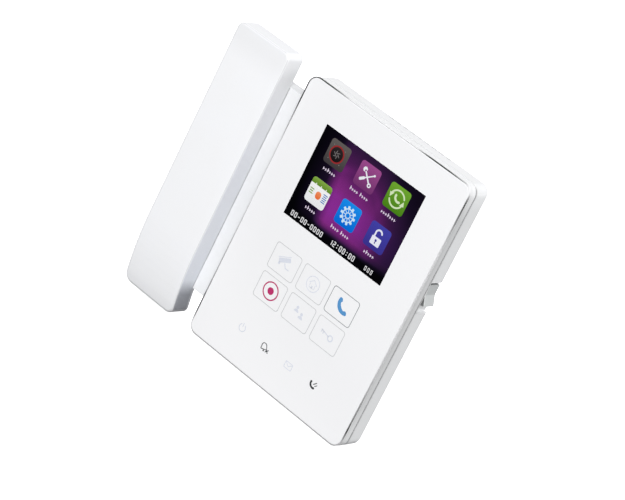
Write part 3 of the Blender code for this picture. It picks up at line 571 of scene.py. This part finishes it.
def lit(name, low, high=None, z_range=(0.0, 1.0)):
    """Part of the display's picture: low to high colour up its height, in rows of dots."""
    paint = Paint(name, roughness=0.16, specular=0.01)
    x, _, z = paint.axes()
    share = paint.span(z, z_range[0] * MM, z_range[1] * MM)
    tone = paint.blend(linear(*low), linear(*(high or low)), share)
    paint.set("Base Color", UNLIT)
    paint.set("Emission Color", dots(paint, tone, x, z))
    paint.set("Emission Strength", 1.0)
    return paint.material


def dots(paint, tone, x, z):
    """Darkens a colour slightly between the display's dots."""
    across = paint.math("SINE", paint.math("MULTIPLY", x, 2 * pi / PIXEL))
    up = paint.math("SINE", paint.math("MULTIPLY", z, 2 * pi / PIXEL))
    grid = paint.span(paint.math("MAXIMUM", across, up), 0.55, 1.0, 0.0, 0.22)
    return paint.blend(tone, (0.0, 0.0, 0.0), grid)


RING_CENTRE = (-0.004, 0.030)  # the faint ring in the wallpaper
RING_RADIUS = 0.031


def picture_ground(name):
    """The display's wallpaper: a magenta glow with a soft left edge, black towards the rim."""
    paint = Paint(name, roughness=0.14, specular=0.01)
    x, _, z = paint.axes()
    slant = paint.math("MULTIPLY_ADD", z, 0.10, x)
    across = paint.ramp(paint.span(slant, -0.038, 0.047), [
        (0.0, 0.0), (0.10, 0.10), (0.20, 0.24), (0.265, 0.82), (0.31, 1.0), (0.38, 1.0),
        (0.62, 0.90), (0.70, 0.80), (0.80, 0.54), (0.90, 0.38), (1.0, 0.28)])
    height = paint.ramp(paint.span(z, 0.010, 0.075), [
        (0.0, 0.0), (0.065, 0.02), (0.09, 0.26), (0.125, 0.70), (0.17, 0.92), (0.30, 1.0),
        (0.46, 0.98), (0.62, 0.82), (0.76, 0.62), (0.90, 0.44), (1.0, 0.34)])
    glow = paint.math("MULTIPLY", across, height)
    ring_x = paint.math("ADD", x, -RING_CENTRE[0])
    ring_z = paint.math("SUBTRACT", z, RING_CENTRE[1])
    far = paint.math("SQRT", paint.math("ADD", paint.math("MULTIPLY", ring_x, ring_x),
                                        paint.math("MULTIPLY", ring_z, ring_z)))
    off_ring = paint.math("ABSOLUTE", paint.math("SUBTRACT", far, RING_RADIUS))
    band = paint.span(off_ring, 0.0, 0.005, 0.14, 0.0, smooth=True)
    veils = paint.noise(34.0, 3.0, 0.5, paint.stretched(1.6, 1.0, 0.5))
    wisps = paint.span(veils, 0.3, 0.7, -0.06, 0.06)
    glow = paint.math("MULTIPLY", glow, paint.math("ADD", paint.math("ADD", 0.97, band), wisps))
    tone = paint.ramp(glow, [(0.0, linear(2, 2, 4)), (0.18, linear(20, 11, 32)),
                             (0.33, linear(46, 22, 60)), (0.62, linear(84, 29, 92)),
                             (1.0, linear(142, 46, 142))])
    tint = paint.ramp(height, [(0.0, (1.0, 1.0, 0.96)), (0.9, (1.0, 1.0, 0.96)),
                               (1.0, (0.96, 0.95, 1.12))])
    tone = paint.blend(tone, tint, 1.0, "MULTIPLY")
    paint.set("Base Color", UNLIT)
    paint.set("Emission Color", dots(paint, tone, x, z))
    paint.set("Emission Strength", 1.0)
    return paint.material


# ---------------------------------------------------------------- flat outlines, in millimetres
def arc(cx, cz, radius, start, end, steps=10):
    """Points on an arc; angles in degrees, from +X towards +Z."""
    turns = [radians(start + (end - start) * i / steps) for i in range(steps + 1)]
    return [(cx + radius * cos(t), cz + radius * sin(t)) for t in turns]


def disc(cx, cz, radius, steps=32):
    return arc(cx, cz, radius, 0, 360, steps)[:-1]


def block(cx, cz, width, height, radius=0.0):
    """A rectangle, with round corners where a radius is given."""
    x, z = width / 2 - radius, height / 2 - radius
    corners = ((x, z), (-x, z), (-x, -z), (x, -z))
    if radius == 0.0:
        return [(cx + dx, cz + dz) for dx, dz in corners]
    points = []
    for i, (dx, dz) in enumerate(corners):
        points += arc(cx + dx, cz + dz, radius, 90 * i, 90 * i + 90, 5)
    return points


def stroke(points, width, caps=True):
    """Outline of a line of one width through the points, with round ends."""
    half = width / 2
    left, right = [], []
    last = len(points) - 1
    for i, (x, z) in enumerate(points):
        ax, az = points[min(i + 1, last)]
        bx, bz = points[max(i - 1, 0)]
        length = hypot(ax - bx, az - bz)
        nx, nz = -(az - bz) / length, (ax - bx) / length
        left.append((x + nx * half, z + nz * half))
        right.append((x - nx * half, z - nz * half))

    def cap(end, nearby):
        if not caps:
            return []
        turn = degrees(atan2(end[1] - nearby[1], end[0] - nearby[0]))
        return arc(end[0], end[1], half, turn + 90, turn - 90, 6)[1:-1]
    return left + cap(points[-1], points[-2]) + right[::-1] + cap(points[0], points[1])


def turned(outline, angle, cx=0.0, cz=0.0):
    """The outline turned about a point, in degrees."""
    c, s = cos(radians(angle)), sin(radians(angle))
    return [(cx + (x - cx) * c - (z - cz) * s, cz + (x - cx) * s + (z - cz) * c)
            for x, z in outline]


def moved(outline, dx, dz, size=1.0):
    return [(dx + x * size, dz + z * size) for x, z in outline]


def gear(cx, cz, outer, inner, teeth):
    """A gear wheel's outline."""
    points = []
    step = 360 / teeth
    for i in range(teeth):
        middle = i * step
        points += arc(cx, cz, outer, middle - step * 0.20, middle + step * 0.20, 2)
        points += arc(cx, cz, inner, middle + step * 0.32, middle + step * 0.68, 2)
    return points


def handset_shape(size=1.0, angle=0.0, cx=0.0, cz=0.0):
    """A telephone handset seen from the side, lying on its back, about 14 mm long."""
    bow = arc(0.0, 5.6, 7.6, 215, 325, 16)
    inner = arc(0.0, 7.5, 6.4, 300, 240, 12)
    tip = [(6.8, 2.3), (6.6, 3.4), (5.6, 4.0), (4.3, 3.9), (3.4, 3.2)]
    outline = bow + tip + inner + [(-x, z) for x, z in reversed(tip)]
    return moved(turned(outline, angle), cx, cz, size)


# ---------------------------------------------------------------- thin solids on the panel
LAYER = 0.00004                # how far one layer of printing stands off the one below


def slab(groups, y_front, y_back):
    """A mesh of flat closed solids: each group is an outline and the holes in it."""
    bm = bmesh.new()
    for outlines in groups:
        curve = bpy.data.curves.new("outline", "CURVE")
        curve.dimensions = "2D"
        curve.fill_mode = "BOTH"
        curve.extrude = (y_back - y_front) / 2
        for outline in outlines:
            spline = curve.splines.new("POLY")
            spline.points.add(len(outline) - 1)
            for point, (x, z) in zip(spline.points, outline):
                point.co = (x * MM, z * MM, 0.0, 1.0)
            spline.use_cyclic_u = True
        drawn = bpy.data.objects.new("outline", curve)
        SCENE.collection.objects.link(drawn)
        graph = bpy.context.evaluated_depsgraph_get()
        mesh = bpy.data.meshes.new_from_object(drawn.evaluated_get(graph))
        upright = Matrix.Rotation(pi / 2, 4, "X")
        mesh.transform(Matrix.Translation((0.0, (y_front + y_back) / 2, 0.0)) @ upright)
        bm.from_mesh(mesh)
        bpy.data.objects.remove(drawn)
        bpy.data.curves.remove(curve)
        bpy.data.meshes.remove(mesh)
    bmesh.ops.remove_doubles(bm, verts=bm.verts, dist=1e-7)
    bmesh.ops.recalc_face_normals(bm, faces=bm.faces)
    return bm


def mark(name, groups, material, layer=1):
    """Something printed on or shown through the panel, standing a layer or more off it."""
    bm = slab(groups, PANEL_FRONT - LAYER * layer, PANEL_FRONT)
    mesh = bpy.data.meshes.new(name)
    bm.to_mesh(mesh)
    bm.free()
    mesh.materials.append(material)
    made = bpy.data.objects.new(name, mesh)
    SCENE.collection.objects.link(made)
    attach(made, "monitor")


def ink_mark(name, groups, material, layer=1):
    """A mark printed on the panel in ink."""
    mark(name, groups, material, layer)


# ---------------------------------------------------------------- display
SCREEN = (0.0, 42.1, 86.9, 65.5)   # centre, width and height of the picture
TILE = 16.9                        # the six buttons' size, and where they are
COLUMNS = (-26.5, 0.1, 26.1)
ROWS = (62.0, 33.8)
CAPTION_DROP = 11.9                # from a button's centre down to its caption


def add_screen():
    mark("screen_ground", [[block(*SCREEN)]], picture_ground("screen_ground"), 1)
    tiles = {
        "lens": ((62, 58, 60), (98, 92, 90), 0, 0),
        "tools": ((112, 50, 108), (158, 76, 142), 1, 0),
        "call": ((70, 128, 22), (112, 168, 48), 2, 0),
        "diary": ((236, 238, 240), (250, 250, 250), 0, 1),
        "gear": ((4, 104, 214), (24, 142, 238), 1, 1),
        "lock": ((58, 50, 142), (66, 66, 168), 2, 1),
    }
    for name, (low, high, column, row) in tiles.items():
        x, z = COLUMNS[column], ROWS[row]
        paint = lit(f"tile_{name}", low, high, (z - TILE / 2, z + TILE / 2))
        mark(f"tile_{name}", [[block(x, z, TILE, TILE, 2.2)]], paint, 2)
    add_lens_icon(COLUMNS[0] - 0.6, ROWS[0])
    add_tools_icon(COLUMNS[1], ROWS[0])
    add_call_icon(COLUMNS[2], ROWS[0])
    add_diary_icon(COLUMNS[0], ROWS[1])
    add_gear_icon(COLUMNS[1], ROWS[1])
    add_lock_icon(COLUMNS[2], ROWS[1])
    add_captions()
    add_status_line()


def add_lens_icon(x, z):
    """A camera lens with six blades in a red ring."""
    mark("lens_ring", [[disc(x, z, 5.9), disc(x, z, 4.9)]], lit("lens_red", (150, 44, 46)), 3)
    barrel = lit("lens_dark", (22, 18, 20), (44, 38, 40), (z - 5, z + 5))
    mark("lens_barrel", [[disc(x, z, 4.9)]], barrel, 3)
    blades = [[turned(block(x + 1.3, z + 0.9, 2.6, 0.5, 0.2), 60 * i + 20, x, z)] for i in range(6)]
    mark("lens_iris", blades, lit("lens_grey", (118, 112, 112)), 4)
    screws = [[disc(*turned([(x + 6.9, z)], 45 + 90 * i, x, z)[0], 0.35, 10)] for i in range(4)]
    mark("lens_screws", screws, lit("lens_screw", (128, 122, 118)), 4)


def add_tools_icon(x, z):
    """A screwdriver and an open spanner, crossed."""
    white = lit("icon_white", (238, 240, 246))
    driver = [[turned(block(x + 1.8, z, 8.0, 0.8, 0.2), 38, x, z)],
              [turned(block(x - 4.0, z, 4.6, 1.9, 0.8), 38, x, z)],
              [turned(block(x + 5.8, z, 1.3, 1.4, 0.3), 38, x, z)]]
    spanner = [[turned(block(x + 0.4, z, 9.0, 1.0, 0.2), -46, x, z)]]
    jaw = arc(x - 5.2, z, 1.7, 40, 320, 12) + [(x - 5.0, z - 0.5), (x - 5.0, z + 0.5)]
    ring = [turned(disc(x + 5.4, z, 1.5, 16), -46, x, z),
            turned(disc(x + 5.4, z, 0.7, 12), -46, x, z)]
    mark("tools_symbol", driver, white, 4)
    mark("tools_spanner", spanner + [[turned(jaw, -46, x, z)], ring], white, 3)


def add_call_icon(x, z):
    """Two arrows chasing each other round a handset."""
    white = lit("call_white", (214, 232, 190))
    radius = 5.6
    arrows = []
    for i in range(2):
        sweep = stroke(arc(x, z, radius, 205, 335, 16), 1.1)
        tip_x = x + radius * cos(radians(335))
        tip_z = z + radius * sin(radians(335))
        head = [(tip_x - 1.6, tip_z - 0.2), (tip_x + 1.7, tip_z + 0.4), (x + radius, z + 1.1)]
        arrows += [[turned(sweep, 180 * i, x, z)], [turned(head, 180 * i, x, z)]]
    mark("call_arrows", arrows, white, 3)
    mark("call_handset", [[handset_shape(0.50, -38, x - 0.4, z - 0.6)]], white, 3)


def add_diary_icon(x, z):
    """A calendar leaf with rings, lines and a spot."""
    half = TILE / 2
    header = arc(x + half - 2.2, z + half - 2.2, 2.2, 0, 90, 5)
    header += arc(x - half + 2.2, z + half - 2.2, 2.2, 90, 180, 5)
    header += [(x - half, z + half - 4.2), (x + half, z + half - 4.2)]
    mark("diary_header", [[header]], lit("diary_green", (96, 138, 36), (134, 172, 74),
                                         (z + half - 4.2, z + half)), 3)
    rows = [[block(x - 5.6, z + 0.6 - 1.5 * i, 3.4 - 0.5 * (i % 2), 0.7, 0.2)] for i in range(3)]
    mark("diary_green_lines", rows, lit("diary_leaf", (128, 164, 72)), 3)
    mark("diary_spot", [[block(x + 0.6, z - 1.3, 4.4, 5.2, 2.0)]],
         lit("diary_orange", (232, 104, 40), (244, 150, 104), (z - 4, z + 1.4)), 3)
    lines = [[block(x + 5.7, z + 1.7 - 1.3 * i, 3.6 - 0.7 * (i % 2), 0.6, 0.2)] for i in range(5)]
    mark("diary_blue_lines", lines, lit("diary_blue", (56, 118, 190)), 3)
    rings = [[block(x + dx, z + half - 4.0, 0.7, 1.6, 0.3)] for dx in (-4.4, 0.0, 4.4)]
    mark("diary_rings", rings, lit("diary_ring", (236, 240, 228)), 4)


def add_gear_icon(x, z):
    """A gear wheel with ten spokes."""
    pale = lit("gear_pale", (206, 232, 252))
    mark("gear_symbol", [[gear(x, z, 6.1, 4.6, 10), disc(x, z, 3.9)]], pale, 3)
    spokes = [[turned(block(x + 2.9, z, 2.2, 0.45), 36 * i, x, z)] for i in range(10)]
    mark("gear_spokes", spokes, pale, 4)
    mark("gear_hub", [[disc(x, z, 2.1), disc(x, z, 1.5)]], pale, 3)


def add_lock_icon(x, z):
    """An open padlock."""
    white = lit("lock_white", (234, 236, 248))
    hole = disc(x, z - 2.0, 0.85, 14)
    mark("lock_body", [[block(x, z - 2.6, 7.6, 5.6, 0.7), hole]], white, 3)
    bend = arc(x, z + 2.7, 2.4, 195, 20, 14)
    hoop = stroke([(x - 2.4, z + 0.1), (x - 2.4, z + 1.0)] + bend, 1.15)
    mark("lock_hoop", [[hoop]], white, 4)
    mark("lock_slot", [[block(x, z - 3.4, 0.7, 2.0, 0.3)]], lit("lock_blue", (52, 48, 130)), 4)


def caption(x, z, words, height, width):
    """Stand-in for a word or two: short upright and level strokes, in no language."""
    strokes = []
    left = x - sum(words) * width / 2 - (len(words) - 1) * width * 0.35
    for word in words:
        for i in range(word):
            tall = height * (1.0 if (i * 3 + word) % 4 == 0 else 0.66)
            middle = left + width * (i + 0.5)
            strokes.append([block(middle, z - (height - tall) / 2, width * 0.66, tall * 0.28)])
            upright = middle - width * 0.18
            strokes.append([block(upright, z - (height - tall) / 2, width * 0.30, tall)])
        left += width * (word + 0.7)
    return strokes


def add_captions():
    pale = lit("caption_pale", (232, 218, 238))
    places = [(0, 0, (6,)), (1, 0, (4, 4)), (2, 0, (7,)),
              (0, 1, (5,)), (1, 1, (4, 4)), (2, 1, (5,))]
    for column, row, words in places:
        strokes = caption(COLUMNS[column], ROWS[row] - CAPTION_DROP, words, 2.5, 1.85)
        mark(f"caption_{column}_{row}", strokes, pale, 2)


SEGMENTS = {"0": "abcdef", "1": "bc", "2": "abged", "-": "g"}


def digit(value, x, z, width, height):
    """One seven-bar numeral."""
    bar = 0.62
    w, h = width / 2, height / 2
    bars = {
        "a": block(x, z + h, width, bar), "g": block(x, z, width, bar),
        "d": block(x, z - h, width, bar), "f": block(x - w, z + h / 2, bar, h),
        "b": block(x + w, z + h / 2, bar, h), "e": block(x - w, z - h / 2, bar, h),
        "c": block(x + w, z - h / 2, bar, h),
    }
    return [[bars[key]] for key in SEGMENTS[value]]


def add_status_line():
    """A date of zeros, a clock and a stand-in for the day, along the picture's lower edge."""
    pale = lit("status_pale", (226, 226, 228))
    z, step = 12.9, 2.9
    date = []
    for i, value in enumerate("00-00-0000"):
        date += digit(value, -37.3 + i * step, z, 1.5, 3.0)
    mark("status_date", date, pale, 2)
    clock = []
    for i, pair in enumerate(("12", "00", "00")):
        left = -2.2 + i * 8.4
        clock += digit(pair[0], left, z, 1.5, 3.2) + digit(pair[1], left + step, z, 1.5, 3.2)
        if i < 2:
            clock += [[disc(left + 5.6, z + dz, 0.42, 10)] for dz in (-0.9, 0.9)]
    mark("status_clock", clock, pale, 2)
    boxes = []
    for i in range(3):
        middle = 28.5 + 2.6 * i
        boxes.append([block(middle, z, 1.5, 3.0), block(middle, z, 0.7, 1.9)])
    mark("status_week", boxes, pale, 2)


# ---------------------------------------------------------------- printed keys
KEY_COLUMNS = (-26.0, 0.0, 26.0)
KEY_ROWS = (-17.4, -39.2)
KEY_SIZE = (22.4, 18.3)
KEY_LINE = 0.42


def key_frame(x, z):
    """The line round a touch key."""
    width, height = KEY_SIZE
    return [block(x, z, width + KEY_LINE, height + KEY_LINE, 2.0),
            block(x, z, width - KEY_LINE, height - KEY_LINE, 1.7)]


def add_keys():
    faint = printed("ink_faint", linear(196, 198, 199))
    ghost = printed("ink_ghost", linear(216, 220, 230))
    strong = printed("ink_grey", linear(130, 136, 138))
    dark = printed("ink_dark", linear(58, 60, 62))
    blue = printed("ink_blue", linear(84, 146, 200))
    crimson = printed("ink_crimson", linear(186, 44, 104))
    left, middle, right = KEY_COLUMNS
    top, bottom = KEY_ROWS
    plain = [(left, top), (middle, top), (left, bottom), (middle, bottom), (right, bottom)]
    ink_mark("key_frames", [key_frame(x, z) for x, z in plain], faint)
    ink_mark("key_frame_answer", [key_frame(right, top)], strong)
    ink_mark("key_answer", [[handset_shape(0.90, -44, right - 0.9, top - 1.2)]], blue)
    spot = left + 0.2
    record = [[disc(spot, bottom, 6.4), disc(spot, bottom, 5.5)], [disc(spot, bottom, 2.5)]]
    ink_mark("key_record", record, crimson)
    add_view_symbol(left, top, ghost)
    add_home_symbol(middle, top, ghost)
    add_pair_symbol(middle, bottom, ghost)
    add_key_symbol(right, bottom, ghost)
    add_power_symbol(-32.6, -71.6, ghost)
    add_bell_symbol(-10.9, -72.3, dark)
    add_mail_symbol(10.9, -72.3, ghost)
    add_talk_symbol(32.8, -72.3, dark)


def add_view_symbol(x, z, ink):
    """A wall camera."""
    tube = turned(block(x + 0.2, z + 1.2, 9.6, 3.0, 0.6), 27, x, z)
    hood = stroke(turned([(x - 4.8, z + 3.4), (x + 5.2, z + 3.4)], 27, x, z), 0.5)
    arm = stroke([(x + 0.6, z - 0.8), (x + 2.4, z - 3.2), (x + 5.2, z - 3.2)], 0.8)
    ink_mark("key_view", [[tube], [hood], [arm], [disc(x - 3.6, z - 2.6, 0.9, 14)]], ink)


def add_home_symbol(x, z, ink):
    """A house in a ring."""
    ring = [disc(x, z, 5.4), disc(x, z, 4.9)]
    roof = stroke([(x - 3.0, z + 0.2), (x, z + 2.8), (x + 3.0, z + 0.2)], 0.6)
    walls = stroke([(x - 2.1, z - 0.2), (x - 2.1, z - 2.8), (x + 2.1, z - 2.8),
                    (x + 2.1, z - 0.2)], 0.5)
    ink_mark("key_home", [ring, [roof], [walls], [block(x, z - 2.0, 1.1, 1.7)]], ink)


def add_pair_symbol(x, z, ink):
    """Two people, head and shoulders."""
    groups = []
    for dx, dz in ((-2.2, 1.3), (2.6, -1.2)):
        groups += [[disc(x + dx, z + dz + 1.6, 1.1, 16)],
                   [arc(x + dx, z + dz - 1.6, 2.0, 0, 180, 12)]]
    ink_mark("key_pair", groups, ink)


def add_key_symbol(x, z, ink):
    """A door key."""
    bow = [disc(x + 3.0, z - 0.4, 2.3), disc(x + 3.0, z - 0.4, 1.4)]
    shank = stroke([(x + 0.9, z + 0.1), (x - 5.4, z + 1.6)], 0.7)
    bits = [[stroke([(x - 4.8 + d, z + 1.4 - d * 0.24), (x - 5.1 + d, z - 0.1 - d * 0.24)], 0.6)]
            for d in (0.0, 1.6)]
    ink_mark("key_door", [bow, [shank]] + bits, ink)


def add_power_symbol(x, z, ink):
    """An open ring with a bar."""
    groups = [[stroke(arc(x, z, 2.6, 125, 415, 20), 0.55)],
              [stroke([(x, z + 0.8), (x, z + 3.2)], 0.55)]]
    ink_mark("touch_power", groups, ink)


def add_bell_symbol(x, z, ink):
    """A bell with a cross beside it."""
    dome = stroke([(x - 3.0, z - 1.6)] + arc(x - 0.6, z + 0.6, 2.0, 190, 0, 12)
                  + [(x + 1.7, z - 1.6), (x - 3.0, z - 1.6)], 0.55, caps=False)
    clapper = disc(x - 0.6, z - 2.5, 0.6, 12)
    falling = stroke([(x + 1.7, z - 0.5), (x + 3.6, z - 2.6)], 0.6)
    rising = stroke([(x + 3.6, z - 0.5), (x + 1.7, z - 2.6)], 0.6)
    bell = [[turned(dome, 14, x, z)], [turned(clapper, 14, x, z)]]
    ink_mark("touch_mute", bell + [[falling]], ink)
    ink_mark("touch_mute_cross", [[rising]], ink, 2)


def add_mail_symbol(x, z, ink):
    """An envelope."""
    groups = [[block(x, z, 6.6, 4.8, 0.7), block(x, z, 5.7, 3.9, 0.4)],
              [stroke([(x - 2.6, z + 1.6), (x, z - 0.5), (x + 2.6, z + 1.6)], 0.5)]]
    ink_mark("touch_mail", groups, ink)


def add_talk_symbol(x, z, ink):
    """A handset with two sound strokes."""
    groups = [[handset_shape(0.46, -42, x - 0.8, z - 0.6)],
              [stroke([(x + 0.6, z + 0.9), (x + 2.4, z + 2.9)], 0.6)],
              [stroke([(x + 2.0, z + 0.2), (x + 3.4, z + 1.7)], 0.45)]]
    ink_mark("touch_talk", groups, ink)


# ---------------------------------------------------------------- finishes of the CAD nodes
def finish_nodes():
    """Gives every CAD node its material, by name or by its material slot."""
    nodes = frame["nodes"]
    # painted light on the right side near the top, painted shade at the seam and in the top vents
    white = moulded_white(
        "case_white", (0.88, 0.89, 0.90), 0.45, sides=((0.080, 1.0), (0.088, 1.09)),
        deep=((0.0083, 0.36), (0.0086, 0.66), (0.0092, 0.93), (0.0102, 1.0)), slots=SLOT_BOX)
    # painted shade on the frame's right side, by height, and in bands by depth towards the seam
    band = moulded_white(
        "frame_white", (0.90, 0.91, 0.92), 0.45,
        sides=((-0.093, 1.0), (-0.083, 0.96), (-0.062, 0.86), (-0.02, 0.82), (0.073, 0.79),
               (0.085, 0.98), (0.091, 1.06)),
        deep=((0.0010, 1.0), (0.0022, 0.90), (0.0032, 0.93), (0.0055, 1.0), (0.0067, 0.98),
              (0.0073, 0.86)))
    # painted shadow on the lower end of the right side, painted shade on the rounded edges, painted
    # light and shade up the front
    grip = moulded_white(
        "handset_white", (0.93, 0.94, 0.96), 0.50, grain=0.6, rim=0.76,
        sides=((-0.088, (0.33, 0.335, 0.36)), (-0.078, (0.36, 0.37, 0.40)),
               (-0.067, (0.76, 0.78, 0.82)), (0.03, (0.80, 0.81, 0.84)), (0.085, 0.84),
               (0.093, 0.94)),
        fronts=((-0.092, 1.0), (-0.082, 1.05), (-0.06, 1.03), (-0.045, 1.0), (0.078, 1.0),
                (0.092, 0.945)))
    # the rocker's grey tone and its dark faces along Y are painted shade of the key sitting in its
    # notch
    rocker = moulded_white("rocker_painted_shade", (0.575, 0.595, 0.595), 0.40, cheeks=0.22)
    # painted light and shade: the cradle's front is paler low down and slightly darker at
    # mid-height
    cradle = moulded_white(
        "cradle_white", (0.83, 0.84, 0.855), 0.42,
        fronts=((-0.072, 1.08), (-0.05, 1.055), (-0.02, 1.0), (0.0, 0.97), (0.02, 0.98),
                (0.04, 1.0)))
    dark = moulded_dark("dark_plastic")
    steel = turned_steel("turned_steel")
    board = solder_resist("solder_resist")
    ribbon = polyimide("polyimide")
    foam = closed_foam("closed_foam")
    nylon = natural_nylon("natural_nylon")
    finishes = {
        "rear_cover": white, "front_frame": band, "rocker_key": rocker,
        "panel_trim": bright_trim("bright_trim"), "front_panel": polished_panel("polished_panel"),
        "cradle_cover": cradle, "cradle_base": cradle, "hook_plunger": grip,
        "handset_front_shell": grip, "handset_rear_shell": grip,
        "wall_bracket": zinc_plate("zinc_plate"), "lcd_bracket": zinc_plate("display_plate"),
        "panel_tape": foam, "speaker_gasket": foam, "lcd_module": display_module("display_module"),
        "display_ribbon": ribbon, "touch_ribbon": ribbon, "touch_board": board, "main_board": board,
        "door_station_connector": nylon, "power_connector": nylon,
    }
    slots = {"black_plastic": dark, "steel": steel, "display": dark, "connector_plastic": nylon}
    for row in frame["record"]["subparts"]:
        name = row["node"]
        paint = finishes.get(name) or slots[row["material_slot"]]
        mesh = nodes[name].data
        mesh.materials.clear()
        mesh.materials.append(paint)


# ---------------------------------------------------------------- build
SCENE.view_settings.view_transform = "Standard"
SCENE.view_settings.look = "None"
add_camera()
add_world()
add_floor()
add_softbox("key_light", (0.86, -1.68, 0.74), (-0.02, 0.0, 0.0), (1.3, 1.3), 33.0)
add_softbox("back_light", (-0.6, 2.0, 0.10), (0.0, 0.0, 0.0), (1.6, 1.2), 3.0)
add_softbox("side_light", (1.9, 0.35, 0.35), (0.0, 0.0, 0.0), (0.9, 1.2), 4.5)
add_softbox("fill_light", (-1.5, 1.4, -0.02), (0.0, 0.0, -0.02), (1.8, 0.14), 9.0)
finish_nodes()
add_screen()
add_keys()
